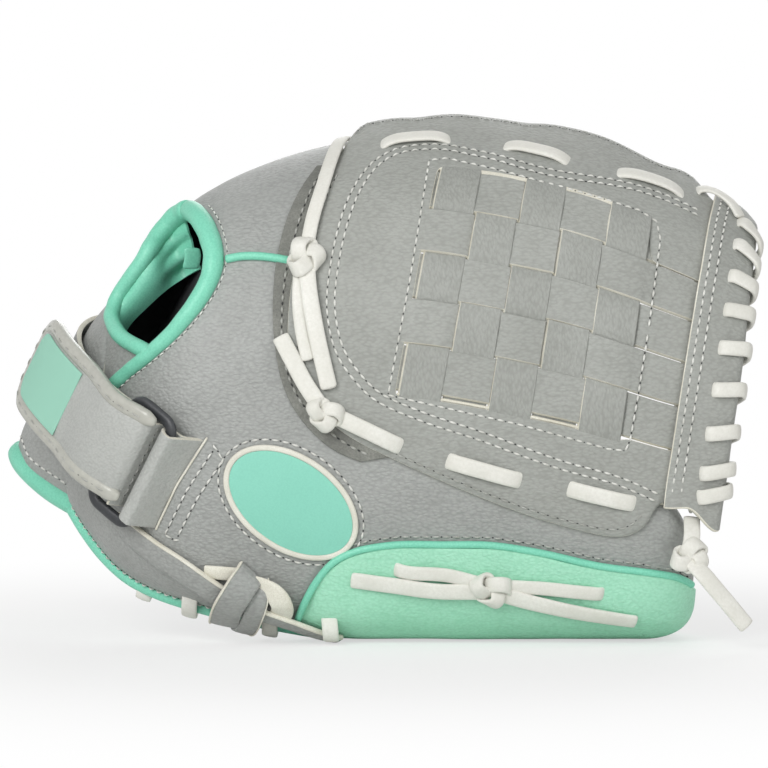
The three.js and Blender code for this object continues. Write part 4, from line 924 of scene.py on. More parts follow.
FACE_END, TURN_END, CREEP = 0.76, 0.9, 1.25


# Thumb side of the back, in one piece with the thumb's outer face out to its tip
def thumb_side(u, v):
    x = lerp(HEEL_X, THUMB_LAST, 1 - (1 - u) ** CREEP)
    k = smooth(x, -30, 4)
    edge = lerp(lower_edge(x), s_at(x, THUMB_EDGE(max(x, KNUCKLE_X))), k)
    radius = lerp(1.5, EDGE_RADIUS, k)
    wall = lerp(2.6, FINGER_DEPTH, k)
    if v < FACE_END:
        s, t = lerp(BACK_EDGE(x), edge - radius, v / FACE_END), 0.0
    elif v < TURN_END:
        a = (v - FACE_END) / (TURN_END - FACE_END) * math.pi / 2
        s, t = edge - radius * (1 - math.sin(a)), -radius * (1 - math.cos(a))
    else:
        s, t = edge, lerp(-radius, -wall, (v - TURN_END) / (1 - TURN_END))
    share = thumb_share(x)
    return under_strap(skin(x, lerp(THUMB_MID, s, share), lerp(THUMB_DEEP, t, share)))


back = panel("back_leather_thumb_side", thumb_side, 64, 46, 2.0)
belongs(back, "hand", ["hand_back_thumb_side"])


# Lower shell of the thumb stall, from under the mint panel round to the pocket
def thumb_under(u, v):
    x = lerp(KNUCKLE_X + GAP, THUMB_LAST, ease_out(u))
    share = thumb_share(x)
    return skin(x, lerp(THUMB_MID, lerp(-88, THUMB_FAR, v), share), lerp(THUMB_DEEP, -0.5, share))


stall = panel("thumb_stall_leather", turn_v(thumb_under), 26, 18, 1.7)
belongs(stall, "hand", ["thumb_stall"])


# Finger side of the back, over the knuckles and round the little-finger side
def finger_side(u, v):
    x = lerp(HEEL_X + 4 * v, KNUCKLE_X - GAP, u)
    return under_strap(skin(x, lerp(upper_edge(x), S_PINKIE + ROLL_REACH, v), 0.0))


knuckles = panel("back_leather_finger_side", finger_side, 34, 44, 2.2)
belongs(knuckles, "hand", ["hand_back_finger_side"], BACK_BEND)


# Rolled wrist binding, soft and a little uneven, thinner from one mark on its line to another
def edge_roll(name, line, phase, thin, start, end):
    path, looks, radii = [], [], []
    for i, p in enumerate(line):
        pull = 0.5 * noise.noise(Vector((i * 0.35, 1.7, phase)))
        swell = 0.25 * noise.noise(Vector((i * 0.3, 4.2, 0)))
        path.append(under_strap(skin(p.x, p.y, 0.3 + pull)))
        looks.append(skin_normal(p.x, p.y))
        radii.append(lerp(WRIST_ROLL, thin, smooth(i, start, end)) + swell)
    return roll(name, path, looks, radii)


wrist_rolls = [edge_roll("near", near_line, 4, 2.9, 8, 48), edge_roll("far", far_line, 3, 3.2, 4, 30)]
wrist_roll = joined("wrist_binding_roll", wrist_rolls)
belongs(wrist_roll, "hand", ["wrist_binding"])


# A line beside another on the pattern
def beside(line, gap):
    headings = [tangent_at(line, i) for i in range(len(line))]
    return [p + Vector((-d.y, d.x, 0)) * gap for p, d in zip(line, headings)]


wrist_row = sewn(beside(near_line, 5.0)[3:], 0.1, 0)
belongs(stitches("wrist_sewing", [wrist_row], length=2.0, space=1.1, radius=0.3), "hand")


# Leather under the crossing of the two rolls
def gusset(u, v):
    x = lerp(-113, -87, u)
    high = lerp(s_at(x, 118.5), s_at(x, 111.5), smooth(x, -104, -89))
    return under_strap(skin(x, lerp(lower_edge(x) - 2, high, v), -1.3))


belongs(panel("wrist_gusset_leather", gusset, 14, 10, 1.4), "hand")
CUFF_START, CUFF_END = 3, 46
CUFF_INWARD = Vector((0.26, 0.34, -0.9))


# Mint cuff lining on the far side of the opening, tucked in folds at its upper end
def cuff(u, v):
    where = lerp(CUFF_START, CUFF_END, u)
    i = min(int(where), len(far_line) - 2)
    p = far_line[i].lerp(far_line[i + 1], where - i)
    inward = CUFF_INWARD * (lerp(23, 11, smooth(u, 0, 0.75)) * v)
    fold = (1 - smooth(u, 0.2, 0.42)) * 2.2 * math.sin(v * 17) * v
    hollow = -3.2 * math.sin(v * math.pi)
    return under_strap(skin(p.x, p.y, -0.6)) + inward + Vector((0, fold + hollow, 0.4 * fold))


lining_band = panel("cuff_lining", turn_u(cuff), 30, 18, 0.9, MINT, MINT, cut=0)
belongs(lining_band, "hand")

# Small pull tab inside the wrist
TAB_AT = Vector((-73.5, 27, 151))
TAB_ACROSS, TAB_UP = Vector((1, 0.25, 0)).normalized(), Vector((0.25, -1, -0.1)).normalized()
tab_path = [TAB_AT + Vector((0.6 * math.sin(i * 0.8), 0.4 * i, -1.7 * i)) for i in range(6)]
tab = strand("wrist_pull_tab", [(p, TAB_ACROSS, TAB_UP) for p in tab_path], lace_section(6.5, 1.4), MINT)
belongs(tab, "hand")

# Knit lining: over the felt heel pads, up the little-finger side and under the back to the wrist opening
far_side = curve_through([-126, -104, -92, -82, -73, -60, -30], [110, 118, 132, 134, 124, 130, 140])
LINING_TURN = 0.62


def lining_at(u, v):
    x = lerp(-119, -38, u)
    crease = 1.2 * noise.noise(Vector((x * 0.06, v * 12, 2)))
    low = palm(x, lerp(-64, 192, min(v / LINING_TURN, 1)), -9.4 + crease)
    if v < LINING_TURN:
        return low
    s = lerp(196, far_side(x), (v - LINING_TURN) / (1 - LINING_TURN))
    return low.lerp(under_strap(open_skin(x, s, -4.6 + crease)), smooth(v, LINING_TURN, 0.72))


lining = panel("knit_palm_lining", turn_v(lining_at), 26, 60, 1.2, LINING, LINING, cut=0)
belongs(lining, "hand", ["palm_lining"], PALM_BEND)
PAD_X, PAD_HALF, PAD_POWER = -87, 24, 0.75


def pad(name, low, high, node_name):
    def point(u, v):
        a = 2 * math.pi * u
        x = PAD_X + PAD_HALF * v * rounded(math.cos(a), PAD_POWER)
        s = lerp(low, high, 0.5 + 0.5 * v * rounded(math.sin(a), PAD_POWER))
        return palm(x, s, -1.4 - 5.6 * math.sqrt(max(1 - v ** 3, 0)))
    obj = panel(name, turn_u(point), 32, 8, 1.0, FELT, FELT, cut=0)
    belongs(obj, "hand", [node_name])


pad("felt_heel_pad_thumb", -58, 8, "thumb_heel_pad")
pad("felt_heel_pad_little", 86, 148, "little_heel_pad")

# Piping: seam of the back, then the heel edge with its sewing
seam = [skin(x, lower_edge(x) + 0.8, 0.9) for x in (-60, -54, -48, -42, -36, -30)]
belongs(tube("back_seam_piping_roll", spline(seam, 20), 1.7), "hand", ["back_seam_piping"])
heel_line = [(x, BACK_EDGE(x)) for x in (-122, -116, -108, -98, -86, -72, -56, -40, -26, -18)]
heel_path = spline([skin(x, s + 4.6 * (1 - smooth(x, -40, -18)), 0.7) for x, s in heel_line], 60)
heel = tube("heel_piping_roll", heel_path, 2.7, Vector((0, -0.6, -0.8)))
belongs(heel, "hand", ["heel_piping"])
heel_row = sewn([(x, s + 9.6) for x, s in heel_line[:-2]], 0.1)
belongs(stitches("heel_sewing", [heel_row], length=2.2), "hand")

# Mint panel on the outer side of the thumb, with its piping and sewing
PANEL_REAR = -33
PANEL_TOP = curve_through([PANEL_REAR, -30, -25.5, -19, -11, 6, 39.8, 81, 119],
                          [9, 16, 24, 31.5, 35.4, 38.2, 37.9, 30, 25.4])


def thumb_skin(x, s, t):
    share = thumb_share(x)
    return skin(x, lerp(THUMB_MID, s, share), lerp(THUMB_DEEP, t, share ** 0.8))


def panel_s(x, v):
    return lerp(s_at(x, PANEL_TOP(x)), lerp(-103, S_THUMB - 9, smooth(x, -26, -12)), v)


def mint_panel(u, v):
    x = lerp(PANEL_REAR, THUMB_END + 0.4, ease_out(u) ** 0.92)
    s = panel_s(x, v)
    lift = 2.1
    if skin_point(x, s, ROLLED).z >= 8:
        lift += 0.7 * ease_out(min(v * 2.2, 1)) * (1 - smooth(v, 0.25, 0.45))
    return thumb_skin(min(x, THUMB_END - 0.05), s, lift)


thumb_panel = panel("thumb_panel_leather", turn_v(mint_panel), 44, 30, 1.5, MINT_PANEL, MINT)
belongs(thumb_panel, "hand", ["thumb_panel"])
edge_xs = [PANEL_REAR, -30, -25.5, -19, -11, -4, 6, 22, 40, 60, 81, 98, 110, 115, 117.6]
panel_edge = spline([thumb_skin(x, panel_s(x, 0) + 1.2, 1.6) for x in edge_xs], 60)
thumb_piping = tube("thumb_panel_piping_roll", panel_edge, 1.5)
belongs(thumb_piping, "hand", ["thumb_panel_piping"])
panel_row = ([thumb_skin(x, panel_s(x, 0) + 3.6, 0.1) for x in edge_xs[3:]],
             [skin_normal(x, panel_s(x, 0)) for x in edge_xs[3:]])
belongs(stitches("thumb_panel_sewing", [panel_row], GREY_THREAD), "hand")

# Web: one leather panel round the woven window, from the index finger to the thumb
BOTTOM_OUT = [(110, 58), (104.5, 55.6), (101.4, 53), (99.6, 48.6), (95, 44.2), (88.5, 42.4), (66, 46.9),
              (36, 57.4), (6, 70.5), (-12.8, 79.9), (-27.8, 91.9)]
LEFT_OUT = [(-27.8, 91.9), (-35.2, 106.9), (-36, 123.8), (-34.1, 140.6), (-30.4, 153.8), (-24, 172.5),
            (-17, 184)]
WEB_CORNER = (-14, 109)
WEB_MIDDLE = Vector((40, 20, 0))
FLARE_AT = 96


# Beyond the index lace the web's free edge stands out a little from the roll of the finger
def web_skin(x, s, t=0.0):
    p = skin(x, s, t)
    if s <= FLARE_AT:
        return p
    base = skin(x, FLARE_AT, t)
    straight = base + (base - skin(x, FLARE_AT - 4, t)) * ((s - FLARE_AT) / 4)
    return p.lerp(straight, 0.62 * smooth(s, FLARE_AT, FLARE_AT + 12))


def web_at_height(x, z, t):
    return x, solve(lambda s: web_skin(x, s, t).z < z, 40.0, 124.0, 24)


SCALLOP_AT, SCALLOP_PITCH, SCALLOP_RISE = 13.5, 40.5, 3.0


def scallop(x):
    return 119.4 + SCALLOP_RISE * abs(math.sin((x - SCALLOP_AT) / SCALLOP_PITCH * math.pi)) ** 0.8


scallop_xs = [SCALLOP_AT + SCALLOP_PITCH / 12 * k for k in range(-6, 25)]
top_points = [WEB_CORNER, (-11.5, 115.5)] + [(x, scallop(x)) for x in scallop_xs]
top_points += [(99, 117.2), (103.5, 115.6), (108, 116.2), (113, 118.4), (117.5, 118), (121.5, 114),
               (124.5, 108.5), at_height(126.5, 166)]
top_out = spline(level(top_points), 140)
bottom_out = spline(fronts(BOTTOM_OUT), 60)
left_out = spline(fronts(LEFT_OUT) + level([WEB_CORNER]), 40)
LEFT_IN, MARGIN, SLIT = -0.008, 0.018, 0.8
SLOT_END, SLOT_TOP = 26.5 / 38, 0.835


def window_low(w):
    a = lerp(1.28, LEFT_IN, w)
    return weave_at(a, -MARGIN * (1 - smooth(a, 0.99, 1.03)))


# The window's upper edge ends with the slot; beyond it the panel runs on into the top strip
def window_high(w):
    if w < SLOT_END:
        return weave_at(lerp(LEFT_IN, 1.003, w / SLOT_END), 1 + MARGIN)
    return weave_at(lerp(0.999, 1.33, (w - SLOT_END) / (1 - SLOT_END)), SLIT + 0.004)


# The panel's lines lean with the weave, so the slot's end meets the top edge at SLOT_TOP of its length
def top_edge(w):
    if w < SLOT_END:
        return along(top_out, w / SLOT_END * SLOT_TOP)
    return along(top_out, lerp(SLOT_TOP, 1, (w - SLOT_END) / (1 - SLOT_END)))


# Stretches of the panel: where each ends, its outer edge and its edge at the window
WEB_PARTS = [
    (0.40, lambda w: along(bottom_out, w), window_low),
    (0.62, lambda w: along(left_out, w), lambda w: weave_at(LEFT_IN, lerp(-MARGIN, 1 + MARGIN, w))),
    (1.00, top_edge, window_high),
]


def web(u, v):
    begin = 0.0
    for end, outer, inner in WEB_PARTS:
        if u <= end:
            w = (u - begin) / (end - begin)
            p = inner(w).lerp(outer(w), v)
            return web_skin(p.x, p.y, WEB_OUT + 0.5 * math.sin(v * math.pi) - 0.5 * smooth(v, 0.92, 1.0))
        begin = end
    return None


# Suede backing that shows beyond the web's rear edge, with its own sewing
BACKING = [(-9, 70.5), (-20.2, 75.8), (-30.8, 86), (-37.5, 98), (-41.2, 116), (-41.6, 134), (-39.6, 150.8),
           (-34.5, 167), (-25.5, 181.5)]
backing_out = spline(fronts(BACKING), 48)
backing_in = spline(fronts(BOTTOM_OUT[-3:] + LEFT_OUT[1:]), 48)


def backing(u, v):
    inside = along(backing_in, u).lerp(WEB_MIDDLE, 0.06)
    return skin(*along(backing_out, u).lerp(inside, v).xy, 1.3)


backing_suede = panel("web_backing_suede", turn_u(backing), 60, 8, 1.2, SUEDE, SUEDE, cut=0.4)
belongs(backing_suede, "hand", bend=WEB_BEND)
backing_sew = [along(backing_in, k / 40).lerp(along(backing_out, k / 40), 0.4) for k in range(2, 40)]
backing_sewing = stitches("web_backing_sewing", [sewn(backing_sew, 1.45, 120)], GREY_THREAD, 2.4, 2.0, 0.5)
belongs(backing_sewing, "hand", bend=WEB_BEND)
web_leather = panel("web_leather", web, 100, 14, 1.9, WEB_GREY, cut=0.5)
belongs(web_leather, "hand", ["web_panel", "web_index_flap"], WEB_BEND)

# Sewing of the web: a double row, a row round the window, and grey rows along its edges
DOUBLE = [(118.5, 163.1), (96, 172.5), (66, 178.1), (36, 185.6), (21, 188.2), (6, 186.8), (-3.4, 181.9),
          (-10.9, 172.5), (-16.5, 159.4), (-20.2, 142.5), (-21.4, 127.5), (-18.4, 112.5), (-12.8, 103.1),
          (-3.4, 93.8), (13.5, 86.2), (36, 78.8), (66, 68.2), (88.5, 61.9), (101.6, 56.2)]
WINDOW_SEW = [(99.2, 121), (102, 140), (103.8, 153), (102.6, 159.5), (96, 163.8), (66, 172.9), (24, 183.2),
              (17.2, 182.6), (9.8, 138.8), (1.5, 95.6), (51, 84.6), (84, 75.6), (90.4, 74.9), (92.2, 78.8),
              (95.2, 96), (99.2, 121)]
double = fronts(DOUBLE)
window_sew = []
for a, b in zip(WINDOW_SEW, WINDOW_SEW[1:]):
    window_sew += [front(lerp(a[0], b[0], k / 8), lerp(a[1], b[1], k / 8)) for k in range(8)]
edge_sew = [along(bottom_out, k / 30).lerp(WEB_MIDDLE, 0.045) for k in range(3, 31)]
edge_sew += [along(left_out, k / 20).lerp(WEB_MIDDLE, 0.05) for k in range(1, 18)]
top_sew = [along(top_out, k / 60) - Vector((0, 3.4, 0)) for k in range(3, 56)]
double_rows = [sewn(line, WEB_OUT + 0.5, 160, web_skin) for line in (double, beside(double, 3.0))]
web_sewing = stitches("web_sewing", double_rows + [sewn(window_sew, WEB_OUT + 0.15, 0)])
belongs(web_sewing, "hand", bend=WEB_BEND)
edge_rows = [sewn(edge_sew, WEB_OUT + 0.2, 120), sewn(top_sew, WEB_OUT + 0.2, 160, web_skin)]
belongs(stitches("web_edge_sewing", edge_rows, GREY_THREAD, radius=0.3), "hand", bend=WEB_BEND)

# Basket weave: each strip has one skived edge that shows pale
COUNT, WAVE, SKIVE = 5, 1.0, 0.09
LEVEL = WEB_OUT - 0.95


# A strip through stops (distance along it, lift); place_at gives its pattern points
def weave_strip(name, stops, place_at, face):
    line = spline(level(stops), len(stops) * 3)
    half = 0.487 / COUNT
    profile = [(-half, -0.7), (-half * (1 - SKIVE), 0.75), (half * 0.96, 0.75), (half, 0.3), (half, -0.7)]
    verts, faces, kinds = [], [], []
    for p in line:
        for d, lift in profile:
            w = place_at(p.x, d)
            verts.append(place(skin(w.x, w.y, p.y + lift)))
    n = len(profile)
    for i in range(len(line) - 1):
        for j in range(n):
            a, b = i * n + j, i * n + (j + 1) % n
            faces.append((a, a + n, b + n, b))
            kinds.append(1 if j == 0 else 0)
    faces += [tuple(range(n)), tuple(reversed(range((len(line) - 1) * n, len(line) * n)))]
    obj = mesh_object(name, verts, faces, [face, RAW], kinds + [1, 1])
    edit_all(obj, bpy.ops.mesh.normals_make_consistent, inside=False)
    finish_shading(obj, STRIP_ANGLE)
    return obj


for k in range(COUNT):
    at = (k + 0.5) / COUNT
    weft = [(-0.06, LEVEL - 0.1), (-0.02, LEVEL + 0.3)]
    if k % 2 == 0:
        weft = [(-0.06, LEVEL - 0.1), (-0.02, LEVEL + 0.15), (0.0, LEVEL - 0.3)]
    warp = [(-0.1, LEVEL - 1.8), (-MARGIN, LEVEL - 1.0)]
    for i in range(COUNT):
        over = WAVE if (i + k) % 2 == 0 else -WAVE
        for c in (-0.055, 0.055):
            weft.append(((i + 0.5) / COUNT + c, LEVEL - over))
            warp.append(((i + 0.5) / COUNT + c, LEVEL + over))
    if k < COUNT - 1:
        weft += [(1.05, LEVEL), (1.16, LEVEL), (1.3, LEVEL)]
    else:
        weft += [(1.02, LEVEL - 0.5), (1.06, LEVEL - 0.6)]
    warp += [(1 + MARGIN, LEVEL - 1.0), (1.1, LEVEL - 1.8)]
    strip = weave_strip(f"woven_weft_{k + 1}", weft, lambda c, d, at=at: weave_at(c, at + d), WEB_GREY)
    belongs(strip, "hand", [f"web_weft_{k + 1}"], WEB_BEND)
    strip = weave_strip(f"woven_warp_{k + 1}", warp, lambda c, d, at=at: weave_at(at + d, c), WARP_GREY)
    belongs(strip, "hand", [f"web_warp_{k + 1}"], WEB_BEND)

# Pale cut edges of the two slots that the upright strips pass through
for name, b, wide in (("upper", 1 + MARGIN * 0.62, 1.9), ("lower", -MARGIN * 0.6, 1.1)):
    path, looks = on_skin([weave_at(lerp(-0.004, 1.0, i / 30), b) for i in range(31)], WEB_OUT - 0.3)
    slot_edge = strand(f"web_slot_edge_{name}", ribbon_stations(path, looks), lace_section(wide, 0.9), RAW)
    belongs(slot_edge, "hand", bend=WEB_BEND)

# Top bar: leather folded over the strip ends, laced along its outer edge
BAR = (front(114.9, 49), front(134.2, 162))
BAR_OUT, BAR_ROUND = 4.2, 3.4
BAR_FACE, BAR_BACK = 0.42, 0.58


def bar_half(b):
    return lerp(12.4, 11.0, b)


def bar_frame(b):
    p = BAR[0].lerp(BAR[1], b)
    across = (skin(p.x + 1, p.y) - skin(p.x - 1, p.y)).normalized()
    return skin(p.x, p.y, WEB_OUT - 1), across, skin_normal(p.x, p.y)


# The bar's lower end is cut on a slant, its upper outer corner is cut off
def bar(u, v):
    half = bar_half(u)
    if v < BAR_FACE:
        a, h = lerp(-half, half - BAR_ROUND, v / BAR_FACE), BAR_OUT
    elif v < BAR_BACK:
        t = (v - BAR_FACE) / (BAR_BACK - BAR_FACE) * math.pi
        a, h = half - BAR_ROUND + BAR_ROUND * math.sin(t), BAR_OUT * math.cos(t)
    else:
        a, h = lerp(half - BAR_ROUND, -half, (v - BAR_BACK) / (1 - BAR_BACK)), -BAR_OUT
    low = -0.035 + 0.075 * (1 - smooth(a, -4, 11))
    high = 1.03 - 0.07 * smooth(a, 0, 11)
    p, across, up = bar_frame(lerp(low, high, u))
    curl = 1 + 0.4 * smooth(u, 0.06, 0.0)
    edge = smooth(a, -half + 3, -half)
    return p + across * a + up * (h * curl * (1 - 0.35 * edge))


bar_leather = panel("web_bar_leather", turn_v(bar), 26, 30, 1.9, WEB_GREY, cut=0.6)
belongs(bar_leather, "hand", ["web_top_bar"], WEB_BEND)


def bar_line(inset, lift):
    line, looks = [], []
    for i in range(41):
        b = lerp(0.05, 1.0, i / 40)
        p, across, up = bar_frame(b)
        line.append(p + across * (inset - bar_half(b)) + up * lift)
        looks.append(up)
    return line, looks


bar_sewing = stitches("web_bar_sewing", [bar_line(2.6, BAR_OUT - 0.3), bar_line(6.0, BAR_OUT + 0.05)])
belongs(bar_sewing, "hand", bend=WEB_BEND)
WRAP_AT = (0.9, 0.805, 0.7, 0.594, 0.48, 0.36, 0.238, 0.13, 0.066)
LAST_STEP = 0.04
wrap_points, wrap_centres = [], []
for b, after in zip(WRAP_AT, (*WRAP_AT[1:], WRAP_AT[-1] - LAST_STEP)):
    step = b - after
    reach = bar_half(b) + 1.9
    tilt = lerp(-0.012, 0.05, smooth(b, 0.55, 0.95))
    turn = [(0, 0.2, 2.2), (0, 1.4, BAR_OUT + 1.0), (tilt * 0.4, 6, BAR_OUT + 1.5),
            (tilt, reach - 2.2, BAR_OUT + 0.7), (tilt + 0.05 * step, reach, 0),
            (tilt + 0.2 * step, reach - 2.2, -BAR_OUT - 0.7), (0.5 * step, 6, -BAR_OUT - 1.5),
            (0.8 * step, 1.4, -BAR_OUT - 1.0), (0.95 * step, 0.2, -2.2)]
    for back_by, a, h in turn:
        p, across, up = bar_frame(b - back_by)
        wrap_points.append(p + across * a + up * h)
        wrap_centres.append(p + across * 5)
wrap_steps = len(wrap_points) * 3
wraps = wound("strand", spline(wrap_points, wrap_steps), spline(wrap_centres, wrap_steps), 5.8, 2.1)
lead_in = [(118.5, 106.5, -1), (120, 107.2, WEB_OUT + 1), (124, 106.5, WEB_OUT + 3.5),
           (129.5, 102, WEB_OUT + 5), (133, 97, WEB_OUT + 4)]
bar_lace = joined("web_bar_lace", [wraps, laid(lead_in, 24, 5.6, 1.9, surface=web_skin)])
belongs(bar_lace, "hand", ["web_top_lace"], WEB_BEND)

# Laces along the web's upper and lower edges
upper_holes = [((-0.4, 191.2), (24.8, 193.1)), ((46.2, 190.4), (69.8, 184.6)), ((88.8, 180.2), (113, 172))]
upper_holes = [[web_at_height(x, z, ON_WEB) for x, z in hole] for hole in upper_holes]
upper = running(upper_holes, ON_WEB, web_skin)
belongs(joined("web_index_edge_lace", [upper]), "fingers", ["web_index_lace"])
lower_holes = [((-20, 88.8), (6, 76.5)), ((24, 71.2), (51, 63.8)), ((69.4, 60.8), (93.8, 55.1))]
lower = running([heights(*hole) for hole in lower_holes], ON_WEB)


# Knot on the front at a point (x, height, lift)
def front_knot(x, z, lift, heading, size, **shape):
    (centre,), (up,) = on_skin([front(x, z)], lift)
    return knot(centre, Vector(heading), up, size, **shape)


parts = [lower,
         tie(ON_WEB, [(-21, 87.5, 1), (-29, 99, 1.2), (-34, 108, 0.9), (-39, 117.4, 0)], 24, 6.6),
         front_knot(-22, 88.5, ON_WEB + 1.6, (1, 0, -0.5), 5.6, turn=0.4)]
belongs(joined("web_thumb_edge_lace", parts), "hand", ["web_thumb_lace"])

# Crotch lace: down the web's rear edge to a knot, with two tails below it
parts = [tie(ON_WEB, [(-14.5, 191.5, -2), (-17.5, 186, 0.6), (-22.5, 172, 1), (-27, 158, 1.2),
                      (-29.2, 147, 1)], 34, 5.4),
         tie(ON_WEB, [(-29, 146, 1.4), (-28, 134, 1.9), (-25, 117, 1.7), (-20.4, 97.6, 1)], 30, 6.4),
         tie(ON_WEB, [(-31, 144, 0.2), (-32, 132, 0.2), (-31, 120, 0), (-28.5, 108, 0.6)], 24, 5.0),
         front_knot(-29.2, 146, ON_WEB + 1.8, (0.35, 0, 1), 6.2, width=6.2)]
belongs(joined("crotch_tie_lace", parts), "hand", ["crotch_lace"], WEB_BEND)

# Thumb lace: one stitch on each side of a knot, and two cut tails
ON_PANEL = 3.4
parts = [tie(ON_PANEL, [(3, 30.2, -5.4), (5, 30, -1), (9, 29.4, 0.4), (24, 28.4, 0.6), (38, 25, 1)], 30, 5.6),
         tie(ON_PANEL, [(42, 24.6, 1), (60, 23.5, 0.6), (77, 21.6, 0.3), (82, 20.8, -1.2), (84, 20.6, -5.4)],
             30, 5.6),
         tie(ON_PANEL, [(39, 22.5, 1.6), (20, 22.6, 1.4), (4, 24.6, 1), (-12.8, 26.4, -0.2)], 30, 6.4),
         tie(ON_PANEL, [(43, 22, 1.6), (60, 18, 1.6), (80, 14, 0.9), (96, 11.2, 0)], 30, 6.4),
         front_knot(40.5, 23.6, ON_PANEL + 2.2, (1, 0, -0.25), 6.2, width=6)]
belongs(joined("thumb_tie_lace", parts), "hand", ["thumb_lace"])

# Tip lace: from under the bar to a knot on the thumb tip, with a hanging tail
tip_knot = skin(*at_height(113.5, 37), 8.6)
tip_path = spline([skin(*at_height(115.5, 50), 1.6), skin(*at_height(114.6, 44), 6.0), tip_knot,
                   Vector((121, -5, 27)), Vector((129, -4, 17.5)), Vector((136.5, -2, 8.4))], 40)
tip_looks = [Vector((0.3, -1, 0.15)).normalized()] * len(tip_path)
parts = [strand("strand", ribbon_stations(tip_path, tip_looks), lace_section(6.6, LACE_THICK), LACE),
         knot(tip_knot, Vector((1, 0, 0.6)), Vector((0.1, -1, 0.1)).normalized(), 5.8, width=6)]
belongs(joined("web_tip_tie_lace", parts), "hand", ["web_tip_lace"])

# Heel lace: wraps over the heel edge (x, height of the hole over the edge, room for the thumb panel)
palm_low = curve_through([PALM_HEEL_X, -90, -45, KNUCKLE_X], [-104, -107, -108, -136])
HEEL_WRAPS = ((-91, 4.5, 0), (-73.5, 12.5, 0), (-43, 12.5, 0), (-19.5, 28.5, 4.6))
LACE_FLOOR = 1.3
heel_points, heel_centres = [], []
for x, top, out in HEEL_WRAPS:
    e, q = BACK_EDGE(x), palm_low(x)
    loop = [palm(x - 5, q + 13, -3), skin(x - 2, e + top + 3, -3.6), skin(x - 0.5, e + top, 1.9 + out),
            skin(x, e + top * 0.4, 5.0 + out), skin(x, e - 1, 4.2 + out), skin(x + 0.2, e - 6, 2.6),
            skin(x + 0.5, e - 12.5, -1), palm(x + 1, q - 3, 3.4), palm(x + 2, q + 6, 4.4),
            palm(x + 4, q + 10, -2.2)]
    heel_points += loop
    heel_centres += [sum(loop, Vector()) / len(loop)] * len(loop)
heel_steps = len(heel_points) * 4
path = [Vector((p.x, p.y, max(p.z, LACE_FLOOR))) for p in spline(heel_points, heel_steps)]
heel_lace = wound("heel_edge_lace", path, spline(heel_centres, heel_steps), 6.2, 1.9)
belongs(heel_lace, "hand", ["heel_lace"])
HEEL_PUSH, HEEL_SAG = Vector((-10.5, 0, -1.5)), Vector((0, 0, -7.5))


# Palm leather of the hand part, with its bound heel
def palm_sheet(u, v):
    end = KNUCKLE_X - GAP - 2 * smooth(v, 0.6, 0.7)
    x = lerp(-142.5 + 25 * abs(2 * v - 1) ** 4, end, u)
    push = (1 - u) ** 5 * smooth(v, 0.0, 0.15) * (1 - smooth(v, 0.3, 1.0))
    sag = (1 - u) ** 5 * smooth(v, 0.0, 0.05) * (1 - smooth(v, 0.07, 0.24))
    return palm(x, lerp(palm_low(x), 202, v), 2.4) + HEEL_PUSH * push + HEEL_SAG * sag


palm_leather = panel("palm_leather_sheet", turn_v(palm_sheet), 40, 48, 2.4)
belongs(palm_leather, "hand", ["palm_leather"], PALM_BEND)
RIM_AT = (0, 0.03, 0.08, 0.16, 0.28, 0.42, 0.58, 0.72, 0.84, 0.92, 0.97, 1)
heel_rim = spline([palm_sheet(0, v) + Vector((-1.6, 0, 0)) for v in RIM_AT], 40)
rim_radii = [lerp(1.2, 4.6, min(smooth(i, 0, 4), 1 - smooth(i, 36, 40))) for i in range(41)]
heel_binding = roll("palm_heel_binding", heel_rim, [Vector((0, 1, 0))] * len(heel_rim), rim_radii)
belongs(heel_binding, "hand")


# Strip of leather that stands up behind the binding, sewn along it
def heel_strip(u, v):
    rim = palm_sheet(0, lerp(0.27, 0.02, u)) + Vector((-1.6, -3.2, 1.5))
    return rim + Vector((5.5, -4, 14.5)) * v + Vector((-0.6, -0.6, 0)) * math.sin(v * math.pi)


belongs(panel("palm_heel_strip", heel_strip, 26, 6, 1.6), "hand")
strip_line = [heel_strip(i / 24, 0.32) for i in range(1, 25)]
strip_looks = [Vector((-0.5, -0.8, 0.3))] * len(strip_line)
belongs(stitches("palm_heel_sewing", [(strip_line, strip_looks)]), "hand")
FACING_END = 111


# Pocket side of the thumb
def thumb_front(u, v):
    x = lerp(KNUCKLE_X - 0.2, FACING_END, ease_out(u))
    s = lerp(S_THUMB - SIDE_RADIUS + 3, s_at(x, THUMB_EDGE(x) - 5), v)
    return palm(x, lerp(THUMB_CENTRE - 10, s, nose_share(x, FACING_END, THUMB_NOSE)), 1.2)


thumb_facing = panel("thumb_facing_leather", turn_v(thumb_front), 30, 26, 2.4)
belongs(thumb_facing, "hand", ["thumb_facing"])


# Leather that closes the thumb between its outer shell and its pocket side
def thumb_close_low(u, v):
    return thumb_under(u, 1).lerp(thumb_front(u, 0), v)


def thumb_close_high(u, v):
    x = lerp(KNUCKLE_X + GAP, THUMB_LAST - 0.05, ease_out(u))
    w = 1 - (1 - (x - HEEL_X) / (THUMB_LAST - HEEL_X)) ** (1 / CREEP)
    return thumb_side(w, 1).lerp(thumb_front(u, 1), v)


closing = [panel("low", thumb_close_low, 30, 6, 1.2), panel("high", turn_v(thumb_close_high), 30, 6, 1.2)]
belongs(joined("thumb_edge_leather", closing), "hand")
FINGER_POWER = 0.6


